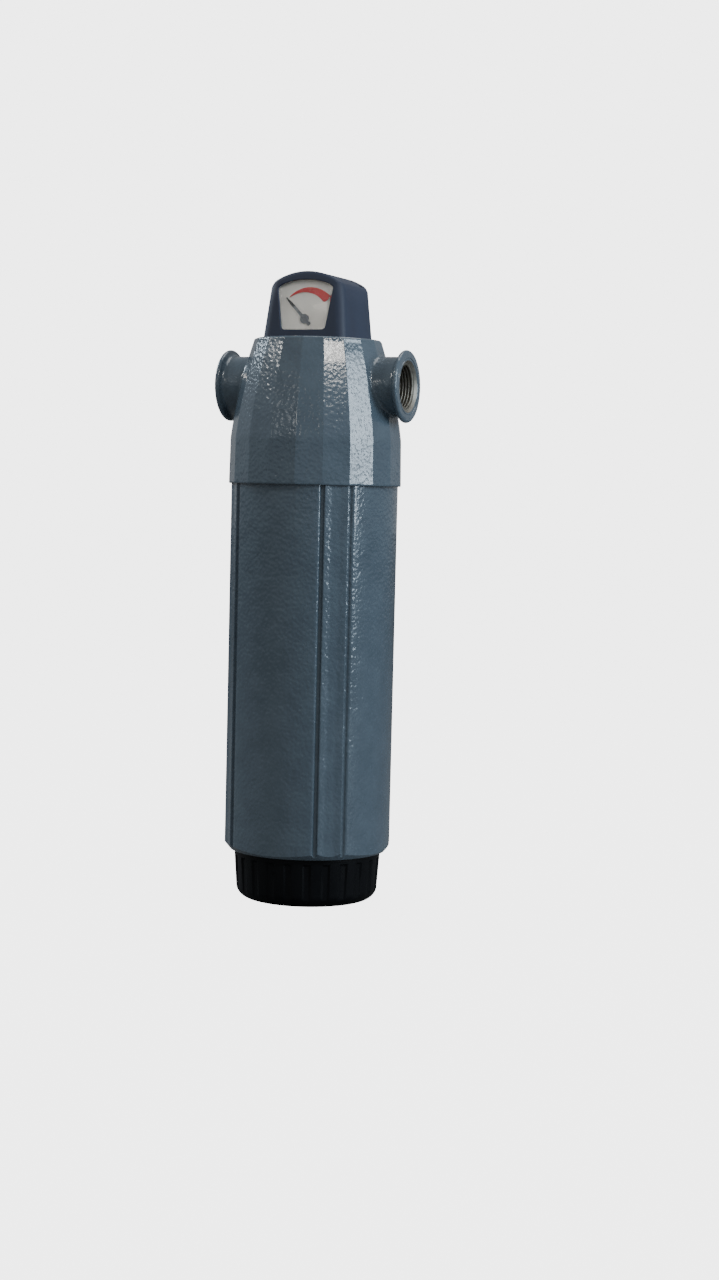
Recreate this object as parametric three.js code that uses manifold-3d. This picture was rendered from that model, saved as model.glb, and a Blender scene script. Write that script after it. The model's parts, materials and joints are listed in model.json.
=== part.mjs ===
// Compressed air line filter with a differential pressure gauge on top of its head.
// Millimetres, +Z up. The origin is the centre of the base on the surface it stands on.
// The ports lie along X (inlet at -X, outlet at +X) and the gauge looks along -Y.
import * as THREE from "three";
import { mergeVertices } from "three/addons/utils/BufferGeometryUtils.js";
import Module from "manifold-3d";

const wasm = await Module();
wasm.setup();

// ---- Driving dimensions -------------------------------------------------------------------

const GAP = 0.3; // clearance between two pieces that touch
const OVERCUT = 1; // how far a cutter runs past the face it opens
const MERGE = 1e-4; // vertices closer than this are one
const ROUND = 40; // sides of a large round
const MIDDLE_ROUND = 28; // sides of a round of 20 to 60 mm
const SMALL_ROUND = 16; // sides of a small round
const PIN_ROUND = 10; // sides of a pin or a narrow hole
const HEXAGON = 6;
const CURVE_STEPS = 10; // straight pieces in each curve of the window's outline
const CHAMFER = 1; // corner break of a turned piece

const BASE_TOP = 36;
const HEAD_BOTTOM = 300;
const HEAD_TOP = 404;
const PORT_Z = 371;
const CAP_PEAK = 451;

// Head casting: a many-sided barrel whose sides bend inwards above the skirt.
const HEAD_SIDES = 20;
const HEAD_RADIUS = 62.3; // to a corner, at the skirt's lower edge
const SHOULDER_RADIUS = 61.7; // to a corner, where the sides start to bend in
const SHOULDER_Z = HEAD_BOTTOM + 32.6;
const SHOULDER_SLOPE = 0.12;
const SHOULDER_SWEEP = 340;
const SHOULDER_STEPS = 6;
const HEAD_EDGE = 2.2; // rounding of the head's top edge
const SKIRT_EDGE = 0.8;
const SKIRT_BORE = 55.4;
const SKIRT_BORE_TOP = 322.7;
const CHAMBER_RADIUS = 50;
const CHAMBER_TOP = 344;
const BOSS_RADIUS = 20;
const BOSS_BOTTOM = 328;
const SOCKET_RADIUS = 14;

// Ports for a 1 inch parallel pipe thread.
const PORT_FACE = 70;
const FLANGE_RADIUS = 25.75;
const FLANGE_THICK = 3.7;
const FLANGE_EDGE = 1;
const FLANGE_FILLET = 2.6;
const NECK_RADIUS = 21;
const NECK_START = 40;
const BODY_SIDE = 59.5; // where a neck comes out of the barrel
const ROOT_FILLET = 2.2;
const THREAD_RADIUS = 16.62;
const THREAD_DEPTH = 19;
const PORT_CHAMFER = 1.9;
const FACE_STEP_RADIUS = 19.75;
const FACE_STEP = 0.6;
const PASSAGE_RADIUS = 14;
const INLET_END = 10;
const OUTLET_START = 22;
const OUTLET_DOWN_X = 37;
const OUTLET_DOWN_RADIUS = 11;

// Bowl tube: an extruded profile with four shallow faces and four raised corner pads.
const TUBE_BORE = 50;
const TUBE_TURN = -7.7; // degrees that the screwed-on tube stands from the head's axes
const TUBE_FACE = { middle: 57.8, sweep: 74, halfAngle: 33, steps: 8 };
const TUBE_GROOVE = { angle: 35.4, halfAngle: 1.1, radius: 58.3 };
const TUBE_PAD = { radius: 60.8, halfAngle: 8.3, floorRadius: 58.95, floorHalfAngle: 3 };
const TUBE_END = { radius: 56.6, rise: 5.2 };
const SPIGOT_RADIUS = 55.1;
const SPIGOT_TOP = 322.4;
const SPIGOT_GROOVE = { radius: 52.9, low: 311, high: 313.8 };
const BIG_SEAL = { lift: 1.25, section: 1 }; // middle of its section above the groove's floor

// Base plug and fluted base cap.
const PLUG_RADIUS = 49.7;
const PLUG_FLOOR = BASE_TOP;
const PLUG_TOP = 58;
const PLUG_GROOVE = { radius: 47.5, low: 50.6, high: 53.4 };
const PLUG_SKIRT = { inner: 41.5, outer: 44.5, bottom: 14 };
const PLUG_DISH = { floor: 46, rise: 4, wall: 4 };
const BAYONETS = 3;
const BAYONET_FLANGE = { inner: 43, outer: 46.6, low: 14, high: 16.4, spread: 70 };
const BAYONET_LUG = { inner: 44.9, outer: 48, low: 16.8, high: 19.2, spread: 40 };
const CAP_RIM_RADIUS = 53.2;
const CAP_FOOT_RADIUS = 51.3;
const CAP_FOOT_Z = 9.3;
const CAP_FOOT_BULGE = { inset: 1.5, z: 1.6 };
const CAP_FLOOR_RADIUS = 40.9;
const CAP_BORE = 47.2;
const CAP_FLOOR = 3.2;
const CAP_HOLE = 16;
const FLUTES = 24;
const FLUTE = { radius: 2.4, top: 32, topAt: 54.2, bottomAt: 52 };

// Drain.
const DRAIN_STEM = 7.6;
const DRAIN_NECK = 4.5; // the stem's radius inside the knob
const DRAIN_BORE = 1.5;
const DRAIN_HOLE = 8.3;
const DRAIN_FLANGE = { radius: 12.5, low: 47.6, high: 50 };
const DRAIN_NUT = { radius: 13.4, height: 7 };
const GASKET = { inner: 8.6, outer: 12, thick: 1 };
const VALVE_SEAT = { inner: 1.7, outer: 3.8, height: 1.8 };
const VALVE_PIN = { radius: 1, head: 2.8, headHeight: 1.5 };
const LEVER_PIVOT = { x: 7, z: 57.5 };
const LEVER_PIN = { radius: 1, hole: 1.3, halfLength: 5.6 };
const LEVER = { halfWidth: 2.5, halfThick: 1, eye: 2.4, slot: 2 };
const EAR = { halfWidth: 2, near: 3.2, thick: 2, abovePin: 2.5 };
const LEVER_PLAY = 2; // from the lever's middle up to the pieces that it lifts or is lifted by
const FLOAT = { radius: 22, low: 66, high: 96, edge: 3, pegX: -16, pegRadius: 1.5 };
const CAGE = { hole: 11, inner: 25, outer: 26.5, floor: 2, head: 8, window: 16, margin: 8 };
const KNOB = { radius: 9.5, low: 8, high: 23.7, shoulder: 13, socket: 4.8, floor: 0.7 };
const KNOB_GRIP = { count: 12, radius: 1.1, outside: 0.5 };
const HOSE_TAIL = { bore: 1.6, tip: 3.2, neck: 3.4, barb: 4.2, rise: 2, pitch: 2.4 };

// Filter element.
const ELEMENT_RADIUS = 34;
const ELEMENT_BOTTOM = 120;
const ELEMENT_TOP = 318;
const END_CAP_THICK = 6;
const ELEMENT_SPIGOT = 13.4;
const ELEMENT_SPIGOT_TOP = 350;
const ELEMENT_HOLE = 10;
const ELEMENT_FILLET = 2;
const ELEMENT_SEAL = { grooveRadius: 11.6, halfGroove: 1.3, radius: 12.75, section: 0.9 };
const ELEMENT_SEAL_LEVELS = [ELEMENT_SPIGOT_TOP - 14, ELEMENT_SPIGOT_TOP - 6];
const MEDIA_LOW = ELEMENT_BOTTOM + END_CAP_THICK + GAP;
const MEDIA_HIGH = ELEMENT_TOP - END_CAP_THICK - GAP;
const CORE = { inner: 15, outer: 16.5, levels: 3, slotHalfWidth: 2, bridge: 0.2 };
const PLEATS = 28;
const MEDIA = { inner: 17.5, outer: 27.5, thick: 0.9 };
const SLEEVE = { inner: 28, outer: 29.2 };
const SOCK = { inner: 29.5, outer: 33 };

// Gauge.
const CAP_WIDTH = 64;
const CAP_FRONT = -30.6;
const CAP_BACK = 29.9;
const CAP_LEAN = { side: 0.108, front: 0.127, back: 0.014 }; // inwards, per millimetre of height
const CAP_CORNER = 7.5;
const CAP_WALL = 2.5;
const CAP_FRONT_WALL = 1.6;
const CAP_ARCH = 44.9;
const CAP_ARCH_SIDE = 4; // how far short of its full width the arch is cut
const WINDOW = { low: 5, straight: 31, bottom: 33.4, top: 42.2, arch: 50, corner: 2.6 };
const WINDOW_EASE = { low: 0.3, high: 0.2 }; // sideways run of its sides at the corners
const WINDOW_FLANGE = 1;
const WINDOW_CUT = 10; // how far back the window's opening is cut, past the leaning front wall
const PANE = { front: 0.3, flangeFront: 1.9, back: 2.3 }; // depths behind the cap's front
const DIAL_DEPTH = 3.8; // from the cap's front to the dial
const DIAL_THICK = 1.2;
const POINTER_Z = 417;
const POINTER_REST = 44.5; // degrees to the left of straight up
const POINTER = { length: 21.5, neck: 13.5, tail: 6, front: -1.2, back: -0.8, hub: 3.3 };
const POINTER_HALF = { neck: 0.9, tail: 1.2 };
const POINTER_REACH = 21.1; // from the dial back to the magnet's end
const POINTER_MAGNET = { radius: 5, thick: 3.3 };
const SPINDLE = { radius: 0.9, front: -0.5, back: POINTER_REACH - POINTER_MAGNET.thick - GAP };
const BUSH = { inner: 1.2, outer: 2, front: -0.1, back: 5 };
const RED_ZONE = { start: -39.5, end: 51, inner: 18.1, outer: 24.6, startInner: 19.7, startOuter: 20.2 };
const RED_ZONE_STEPS = 12;
const RED_ZONE_THICK = 0.2;
const LEAN_ANGLE = THREE.MathUtils.radToDeg(Math.atan(CAP_LEAN.front));
const DIAL_Y = CAP_FRONT + CAP_LEAN.front * (POINTER_Z - HEAD_TOP - GAP) + DIAL_DEPTH;
const PISTON_Y = 9;
const PISTON_BORE = 6.2;
const PISTON = { radius: 5.8, low: 406.5, high: 414, pocket: 3.8, pocketDepth: 3.6 };
const SPRING = { radius: 4.85, wire: 0.5, turns: 5, low: 415, high: 430.2 };
const TAP_X = 13.2;
const TAP_RADIUS = 1.5;
const PLATE = { side: 18.2, front: -15, back: 21, thick: 4 };
const TOWER = { left: -9, front: 0.6, back: 17.5, top: 434, boreTop: 431 };
const CROSSING = { radius: 1.3, z: 429 }; // joins the piston's bore to the outlet's tap
const STAND = { halfWidth: 14, front: -23.1, back: -14, height: 11 };
const STAND_SLOT = { halfWidth: 3, depth: 5 };
const TAP_SEAL = { section: 0.55, lift: 0.75, grooveDepth: 1.6 };
const BORE_GROOVE = { inner: 6.9, middle: 8.1, outer: 9.3 };
const TAP_GROOVE = { inner: 1.9, middle: 2.75, outer: 3.6 };
const SCREW = { x: 23, y: 17, head: 2.9, headHeight: 2.6, shank: 1.5, seat: 437, tip: 393 };
const SCREW_EDGE = 0.6;
const SCREW_SPARE = 2; // hole left past the screw's tip
const SCREW_PILLAR = { radius: 4.5, aboveSeat: 4 };
const CAP_RECESS = { x: 11, length: 8, width: 3.6, depth: 1.3 };

// ---- Finishes -----------------------------------------------------------------------------

function finish(color, roughness, metalness) {
  return new THREE.MeshStandardMaterial({ color, roughness, metalness });
}

const PAINT = [0x50626e, 0.35, 0.3];
const NAVY = [0x2b3448, 0.5, 0];
const BLACK = [0x15171a, 0.55, 0];
const RUBBER = [0x101010, 0.8, 0];
const STEEL = [0xb4b8bc, 0.3, 1];
const BRASS = [0xb08d4a, 0.35, 1];
const ALUMINIUM = [0x9aa0a5, 0.45, 1];
const WHITE = [0xb8b3ab, 0.6, 0];
const RED = [0xb02020, 0.5, 0];
const CLEAR = [0xdde4e8, 0.05, 0];
const FIBRE = [0xe6e1d2, 0.9, 0];
const FOAM = [0xd8c25a, 0.95, 0];

// ---- Solids -------------------------------------------------------------------------------

function manifoldOf(positions, triangles) {
  return new wasm.Manifold(
    new wasm.Mesh({ numProp: 3, vertProperties: positions, triVerts: triangles }),
  );
}

// A closed three.js geometry as a solid whose faces point outwards.
function solid(geometry) {
  const bare = geometry.clone();
  bare.deleteAttribute("normal");
  bare.deleteAttribute("uv");
  const merged = mergeVertices(bare, MERGE);
  const positions = new Float32Array(merged.attributes.position.array);
  const triangles = new Uint32Array(merged.index.array);
  const made = manifoldOf(positions, triangles);
  if (made.volume() > 0) return made;
  for (let i = 0; i < triangles.length; i += 3) {
    [triangles[i + 1], triangles[i + 2]] = [triangles[i + 2], triangles[i + 1]];
  }
  return manifoldOf(positions, triangles);
}

function join(first, ...others) {
  return others.reduce((sum, other) => sum.add(other), first);
}

function cut(body, ...tools) {
  return tools.reduce((rest, tool) => rest.subtract(tool), body);
}

function geometryOf(body) {
  const { vertProperties, triVerts } = body.getMesh();
  const geometry = new THREE.BufferGeometry();
  geometry.setAttribute("position", new THREE.BufferAttribute(vertProperties, 3));
  geometry.setIndex(new THREE.BufferAttribute(triVerts, 1));
  geometry.computeVertexNormals();
  return geometry;
}

function named(name, body, look) {
  const mesh = new THREE.Mesh(geometryOf(body), finish(...look));
  mesh.name = name;
  return mesh;
}

// ---- Shapes -------------------------------------------------------------------------------

const radians = THREE.MathUtils.degToRad;

function latheGeometry(profile, sides, start = 0) {
  const points = profile.map(([r, z]) => new THREE.Vector2(r, z));
  return new THREE.LatheGeometry(points, sides, start).rotateX(Math.PI / 2);
}

// A solid turned about Z from a profile of [radius, z] that starts and ends on the axis.
function turned(profile, sides = ROUND, start = 0) {
  return solid(latheGeometry(profile, sides, start));
}

// A ring turned about Z from a profile that closes on itself.
function ring(profile, sides = ROUND) {
  return turned([...profile, profile[0]], sides);
}

function rod(radius, low, high, sides = SMALL_ROUND) {
  return turned([[0, low], [radius, low], [radius, high], [0, high]], sides);
}

function tube(inner, outer, low, high, sides = ROUND) {
  return ring([[inner, low], [outer, low], [outer, high], [inner, high]], sides);
}

function alongX(body, side = 1) {
  return body.rotate([0, 90 * side, 0]);
}

function alongY(body) {
  return body.rotate([-90, 0, 0]);
}

// A block between two corners.
function block([x0, y0, z0], [x1, y1, z1]) {
  const geometry = new THREE.BoxGeometry(x1 - x0, y1 - y0, z1 - z0);
  return solid(geometry.translate((x0 + x1) / 2, (y0 + y1) / 2, (z0 + z1) / 2));
}

// A flat outline in X and Y raised from one height to another.
function raised(shape, low, high, curveSegments = 6) {
  const geometry = new THREE.ExtrudeGeometry(shape, {
    depth: high - low,
    bevelEnabled: false,
    curveSegments,
  });
  return solid(geometry.translate(0, 0, low));
}

// An outline drawn in X and Z, made solid between two places along Y.
function facing(shape, front, back, curveSegments = 6) {
  return raised(shape, -back, -front, curveSegments).rotate([90, 0, 0]);
}

function oRing(radius, section, z, sides = ROUND) {
  const geometry = new THREE.TorusGeometry(radius, section, HEXAGON, sides);
  return solid(geometry.translate(0, 0, z));
}

function ringSector(inner, outer, middle, spread) {
  const from = radians(middle - spread / 2);
  const to = radians(middle + spread / 2);
  const shape = new THREE.Shape();
  shape.absarc(0, 0, outer, from, to, false);
  shape.absarc(0, 0, inner, to, from, true);
  return shape;
}

function polar(radius, degrees) {
  return [radius * Math.cos(radians(degrees)), radius * Math.sin(radians(degrees))];
}

// A straight round bar between two points.
function bar(radius, from, to) {
  const start = new THREE.Vector3(...from);
  const run = new THREE.Vector3(...to).sub(start);
  const turn = new THREE.Quaternion();
  turn.setFromUnitVectors(new THREE.Vector3(0, 0, 1), run.clone().normalize());
  const profile = [[0, 0], [radius, 0], [radius, run.length()], [0, run.length()]];
  const geometry = latheGeometry(profile, PIN_ROUND).applyQuaternion(turn);
  return solid(geometry.translate(...from));
}

// ---- Head ---------------------------------------------------------------------------------

function shoulderRadius(z) {
  const rise = z - SHOULDER_Z;
  return SHOULDER_RADIUS - SHOULDER_SLOPE * rise - rise ** 2 / (2 * SHOULDER_SWEEP);
}

function headBarrel() {
  const bendTop = HEAD_TOP - HEAD_EDGE;
  const shoulder = [];
  for (let i = 0; i <= SHOULDER_STEPS; i += 1) {
    const z = THREE.MathUtils.lerp(SHOULDER_Z, bendTop, i / SHOULDER_STEPS);
    shoulder.push([shoulderRadius(z), z]);
  }
  const edgeRadius = shoulderRadius(bendTop);
  const profile = [
    [0, HEAD_BOTTOM],
    [HEAD_RADIUS - SKIRT_EDGE, HEAD_BOTTOM],
    [HEAD_RADIUS, HEAD_BOTTOM + SKIRT_EDGE],
    ...shoulder,
    [edgeRadius - HEAD_EDGE / 2, HEAD_TOP - HEAD_EDGE / 4],
    [edgeRadius - HEAD_EDGE, HEAD_TOP],
    [0, HEAD_TOP],
  ];
  return turned(profile, HEAD_SIDES, Math.PI / HEAD_SIDES);
}

// A port neck with its root fillet and flange, turned about the port's axis.
function portNeck(side) {
  const flangeBack = PORT_FACE - FLANGE_THICK;
  const profile = [
    [0, NECK_START],
    [NECK_RADIUS + ROOT_FILLET, NECK_START],
    [NECK_RADIUS + ROOT_FILLET, BODY_SIDE],
    [NECK_RADIUS + ROOT_FILLET / 3, BODY_SIDE + ROOT_FILLET / 2],
    [NECK_RADIUS, BODY_SIDE + ROOT_FILLET],
    [NECK_RADIUS, flangeBack - FLANGE_FILLET],
    [NECK_RADIUS + FLANGE_FILLET / 3, flangeBack - FLANGE_FILLET / 3],
    [NECK_RADIUS + FLANGE_FILLET, flangeBack],
    [FLANGE_RADIUS, flangeBack],
    [FLANGE_RADIUS, PORT_FACE - FLANGE_EDGE],
    [FLANGE_RADIUS - FLANGE_EDGE, PORT_FACE],
    [FACE_STEP_RADIUS, PORT_FACE],
    [FACE_STEP_RADIUS, PORT_FACE - FACE_STEP],
    [0, PORT_FACE - FACE_STEP],
  ];
  return alongX(turned(profile, MIDDLE_ROUND), side).translate([0, 0, PORT_Z]);
}

function portBore(side, passageStart) {
  const mouth = PORT_FACE - FACE_STEP;
  const profile = [
    [0, passageStart],
    [PASSAGE_RADIUS, passageStart],
    [PASSAGE_RADIUS, PORT_FACE - THREAD_DEPTH],
    [THREAD_RADIUS, PORT_FACE - THREAD_DEPTH],
    [THREAD_RADIUS, mouth - PORT_CHAMFER],
    [THREAD_RADIUS + PORT_CHAMFER + OVERCUT, mouth + OVERCUT],
    [0, mouth + OVERCUT],
  ];
  return alongX(turned(profile, MIDDLE_ROUND), side).translate([0, 0, PORT_Z]);
}

function filterHead() {
  const outside = join(headBarrel(), portNeck(-1), portNeck(1));
  const skirt = rod(SKIRT_BORE, HEAD_BOTTOM - OVERCUT, SKIRT_BORE_TOP, ROUND);
  const chamber = tube(BOSS_RADIUS, CHAMBER_RADIUS, SKIRT_BORE_TOP - OVERCUT, CHAMBER_TOP);
  const underBoss = rod(BOSS_RADIUS + OVERCUT, SKIRT_BORE_TOP - OVERCUT, BOSS_BOTTOM, ROUND);
  const socket = rod(SOCKET_RADIUS, BOSS_BOTTOM - OVERCUT, PORT_Z);
  const outletDown = rod(OUTLET_DOWN_RADIUS, CHAMBER_TOP - OVERCUT, PORT_Z);
  const upstreamTap = rod(TAP_RADIUS, PORT_Z, HEAD_TOP + OVERCUT, PIN_ROUND);
  const tapTop = [TAP_X, PISTON_Y, HEAD_TOP + OVERCUT];
  const tapEnd = [OUTLET_START + PASSAGE_RADIUS / 2, PISTON_Y, PORT_Z];
  const downstreamTap = bar(TAP_RADIUS, tapTop, tapEnd);
  const screwHoles = [-SCREW.x, SCREW.x].map((x) => {
    const hole = rod(SCREW.shank + GAP, SCREW.tip - SCREW_SPARE, HEAD_TOP + OVERCUT, PIN_ROUND);
    return hole.translate([x, SCREW.y, 0]);
  });
  return cut(
    outside,
    skirt,
    chamber,
    underBoss,
    socket,
    outletDown.translate([OUTLET_DOWN_X, 0, 0]),
    portBore(-1, -INLET_END),
    portBore(1, OUTLET_START),
    upstreamTap.translate([0, PISTON_Y, 0]),
    downstreamTap,
    ...screwHoles,
  );
}

// ---- Bowl ---------------------------------------------------------------------------------

// Distance from the axis to a face of the tube, which is a shallow arc, at an angle from its middle.
function faceReach(degrees) {
  const { middle, sweep } = TUBE_FACE;
  const back = sweep - middle;
  const a = radians(degrees);
  return Math.sqrt(sweep ** 2 - (back * Math.sin(a)) ** 2) - back * Math.cos(a);
}

// A quarter of the tube's outline: one face, a groove, a corner pad with a shallow channel, a groove.
function quarterOutline() {
  const points = [];
  const { halfAngle: faceHalf, steps: faceSteps } = TUBE_FACE;
  for (let i = 0; i <= faceSteps; i += 1) {
    const a = THREE.MathUtils.lerp(-faceHalf, faceHalf, i / faceSteps);
    points.push(polar(faceReach(a), a));
  }
  const { angle, halfAngle: grooveHalf, radius: grooveRadius } = TUBE_GROOVE;
  points.push(polar(grooveRadius, angle - grooveHalf));
  points.push(polar(grooveRadius, angle + grooveHalf));
  const { radius, halfAngle, floorRadius, floorHalfAngle } = TUBE_PAD;
  points.push(polar(radius, 45 - halfAngle));
  points.push(polar(floorRadius, 45 - floorHalfAngle));
  points.push(polar(floorRadius, 45 + floorHalfAngle));
  points.push(polar(radius, 45 + halfAngle));
  points.push(polar(grooveRadius, 90 - angle - grooveHalf));
  points.push(polar(grooveRadius, 90 - angle + grooveHalf));
  return points;
}

function tubeOutline() {
  const middle = new THREE.Vector2();
  const outline = [];
  for (let quarter = 0; quarter < 4; quarter += 1) {
    const turn = radians(TUBE_TURN + quarter * 90);
    for (const [x, y] of quarterOutline()) {
      outline.push(new THREE.Vector2(x, y).rotateAround(middle, turn));
    }
  }
  return new THREE.Shape(outline);
}

function bowlTube() {
  const shoulder = HEAD_BOTTOM - GAP;
  const profile = raised(tubeOutline(), BASE_TOP, shoulder);
  const beyond = TUBE_PAD.radius + OVERCUT;
  const turnedEnd = turned([
    [0, BASE_TOP],
    [TUBE_END.radius, BASE_TOP],
    [beyond, BASE_TOP + TUBE_END.rise],
    [beyond, shoulder + OVERCUT],
    [0, shoulder + OVERCUT],
  ]);
  const spigot = rod(SPIGOT_RADIUS, shoulder - OVERCUT, SPIGOT_TOP, ROUND);
  const { radius, low, high } = SPIGOT_GROOVE;
  const groove = tube(radius, SPIGOT_RADIUS + OVERCUT, low, high);
  const bore = rod(TUBE_BORE, BASE_TOP - OVERCUT, SPIGOT_TOP + OVERCUT, ROUND);
  return cut(join(profile.intersect(turnedEnd), spigot), groove, bore);
}

// An O-ring in the groove of the spigot or the plug.
function bigSeal({ radius, low, high }) {
  return oRing(radius + BIG_SEAL.lift, BIG_SEAL.section, (low + high) / 2);
}

function bayonetRing({ inner, outer, low, high, spread }) {
  const sectors = [];
  for (let i = 0; i < BAYONETS; i += 1) {
    sectors.push(raised(ringSector(inner, outer, (360 / BAYONETS) * i, spread), low, high));
  }
  return sectors;
}

function basePlug() {
  const { inner, outer, bottom } = PLUG_SKIRT;
  const { floor, rise, wall } = PLUG_DISH;
  const body = ring([
    [DRAIN_HOLE, PLUG_FLOOR],
    [inner, PLUG_FLOOR],
    [inner, bottom],
    [outer, bottom],
    [outer, PLUG_FLOOR],
    [PLUG_RADIUS, PLUG_FLOOR + CHAMFER],
    [PLUG_RADIUS, PLUG_GROOVE.low],
    [PLUG_GROOVE.radius, PLUG_GROOVE.low],
    [PLUG_GROOVE.radius, PLUG_GROOVE.high],
    [PLUG_RADIUS, PLUG_GROOVE.high],
    [PLUG_RADIUS, PLUG_TOP],
    [PLUG_RADIUS - wall, PLUG_TOP],
    [PLUG_RADIUS - wall, floor + rise],
    [DRAIN_FLANGE.radius + CHAMFER, floor],
    [DRAIN_HOLE, floor],
  ]);
  return join(body, ...bayonetRing(BAYONET_FLANGE));
}

function fluteCutters() {
  const { radius, top, topAt, bottomAt } = FLUTE;
  const cutters = [];
  for (let i = 0; i < FLUTES; i += 1) {
    const groove = bar(radius, [bottomAt, 0, 0], [topAt, 0, top]);
    cutters.push(groove.rotate([0, 0, (360 / FLUTES) * (i + 0.5)]));
  }
  return cutters;
}

function baseCap() {
  const rim = BASE_TOP - GAP;
  const foot = new THREE.Vector2(CAP_FLOOR_RADIUS, 0);
  const shoulder = new THREE.Vector2(CAP_FOOT_RADIUS, CAP_FOOT_Z);
  const bulge = new THREE.Vector2(CAP_FOOT_RADIUS - CAP_FOOT_BULGE.inset, CAP_FOOT_BULGE.z);
  const rounded = new THREE.QuadraticBezierCurve(foot, bulge, shoulder);
  const outside = rounded.getPoints(3).map((p) => [p.x, p.y]);
  const body = ring([
    [CAP_HOLE, 0],
    ...outside,
    [CAP_RIM_RADIUS, rim - CHAMFER],
    [CAP_RIM_RADIUS - CHAMFER, rim],
    [CAP_BORE, rim],
    [CAP_BORE, CAP_FOOT_Z + CAP_FLOOR],
    [CAP_FLOOR_RADIUS - CHAMFER, CAP_FLOOR + CHAMFER],
    [CAP_HOLE, CAP_FLOOR],
  ]);
  return join(cut(body, ...fluteCutters()), ...bayonetRing(BAYONET_LUG));
}

// ---- Drain --------------------------------------------------------------------------------

function drainBody() {
  const { radius, low, high } = DRAIN_FLANGE;
  const stem = turned([
    [0, KNOB.shoulder + KNOB.floor + GAP],
    [DRAIN_NECK, KNOB.shoulder + KNOB.floor + GAP],
    [DRAIN_NECK, KNOB.high + GAP],
    [DRAIN_STEM, KNOB.high + GAP],
    [DRAIN_STEM, low],
    [radius, low],
    [radius, high],
    [0, high],
  ], SMALL_ROUND);
  const { x, z } = LEVER_PIVOT;
  const { halfWidth, near, thick, abovePin } = EAR;
  const ears = [near, -near - thick].map((y) =>
    block([x - halfWidth, y, high - OVERCUT], [x + halfWidth, y + thick, z + abovePin]),
  );
  const past = near + thick + OVERCUT;
  const pinHole = alongY(rod(LEVER_PIN.hole, -past, past, PIN_ROUND)).translate([x, 0, z]);
  const outlet = rod(DRAIN_BORE, KNOB.shoulder, high + OVERCUT, PIN_ROUND);
  return cut(join(stem, ...ears), pinHole, outlet);
}

function drainGasket() {
  const high = DRAIN_FLANGE.low - GAP;
  return tube(GASKET.inner, GASKET.outer, high - GASKET.thick, high, SMALL_ROUND);
}

function valveSeat() {
  const { high } = DRAIN_FLANGE;
  return tube(VALVE_SEAT.inner, VALVE_SEAT.outer, high + GAP, high + VALVE_SEAT.height, SMALL_ROUND);
}

function leverPin() {
  const { radius, halfLength } = LEVER_PIN;
  const pin = alongY(rod(radius, -halfLength, halfLength, PIN_ROUND));
  return pin.translate([LEVER_PIVOT.x, 0, LEVER_PIVOT.z]);
}

function drainNut() {
  const high = PLUG_FLOOR - GAP;
  const low = high - DRAIN_NUT.height;
  const hexagon = rod(DRAIN_NUT.radius, low, high, HEXAGON);
  return cut(hexagon, rod(DRAIN_STEM + GAP, low - OVERCUT, high + OVERCUT));
}

function drainCage() {
  const { hole, inner, outer, head, window, margin } = CAGE;
  const low = DRAIN_FLANGE.high + GAP;
  const floor = low + CAGE.floor;
  const top = FLOAT.high + head;
  const wall = ring([
    [hole, low],
    [outer, low],
    [outer, top],
    [inner, top],
    [inner, floor],
    [hole, floor],
  ]);
  const reach = outer + OVERCUT;
  const corner = [reach, window / 2];
  const opening = block([-corner[0], -corner[1], low + margin], [corner[0], corner[1], top - margin]);
  return cut(wall, opening.rotate([0, 0, 45]), opening.rotate([0, 0, -45]));
}

function floatLever() {
  const { x, z } = LEVER_PIVOT;
  const { halfWidth, halfThick, eye: eyeRadius, slot } = LEVER;
  const armEnd = [x - halfThick, halfWidth, z + halfThick];
  const arm = block([FLOAT.pegX - halfWidth, -halfWidth, z - halfThick], armEnd);
  const eye = alongY(rod(eyeRadius, -halfWidth, halfWidth, SMALL_ROUND)).translate([x, 0, z]);
  const past = halfWidth + OVERCUT;
  const pinHole = alongY(rod(LEVER_PIN.hole, -past, past, PIN_ROUND)).translate([x, 0, z]);
  const pinSlot = rod(slot, z - halfThick - OVERCUT, z + halfThick + OVERCUT, PIN_ROUND);
  return cut(join(arm, eye), pinHole, pinSlot);
}

function drainFloat() {
  const { radius, low, high, edge, pegX, pegRadius } = FLOAT;
  const body = turned([
    [0, low],
    [radius - edge, low],
    [radius, low + edge],
    [radius, high - edge],
    [radius - edge, high],
    [0, high],
  ], MIDDLE_ROUND);
  const peg = rod(pegRadius, LEVER_PIVOT.z + LEVER_PLAY, low + OVERCUT, PIN_ROUND);
  return join(body, peg.translate([pegX, 0, 0]));
}

function valvePin() {
  const { radius, head: headRadius, headHeight } = VALVE_PIN;
  const tip = DRAIN_FLANGE.high + VALVE_SEAT.height + GAP;
  const underHead = LEVER_PIVOT.z + LEVER_PLAY;
  return turned([
    [0, tip],
    [radius, tip + CHAMFER],
    [radius, underHead],
    [headRadius, underHead],
    [headRadius, underHead + headHeight],
    [0, underHead + headHeight],
  ], PIN_ROUND);
}

// A knurled knob that opens the drain by hand, with a barbed outlet for a hose.
function drainKnob() {
  const { radius, low, high, shoulder, socket, floor } = KNOB;
  const { bore, tip, neck, barb, rise, pitch } = HOSE_TAIL;
  const body = ring([
    [bore, low],
    [tip, low],
    [barb, low + rise],
    [neck, low + pitch],
    [barb, low + pitch + rise],
    [radius, shoulder],
    [radius, high],
    [socket, high],
    [socket, shoulder + floor],
    [bore, shoulder + floor],
  ], SMALL_ROUND);
  const notches = [];
  for (let i = 0; i < KNOB_GRIP.count; i += 1) {
    const [x, y] = polar(radius + KNOB_GRIP.outside, (360 / KNOB_GRIP.count) * i);
    const notch = rod(KNOB_GRIP.radius, shoulder - OVERCUT, high + OVERCUT, PIN_ROUND);
    notches.push(notch.translate([x, y, 0]));
  }
  return cut(body, ...notches);
}

// ---- Filter element -----------------------------------------------------------------------

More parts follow.
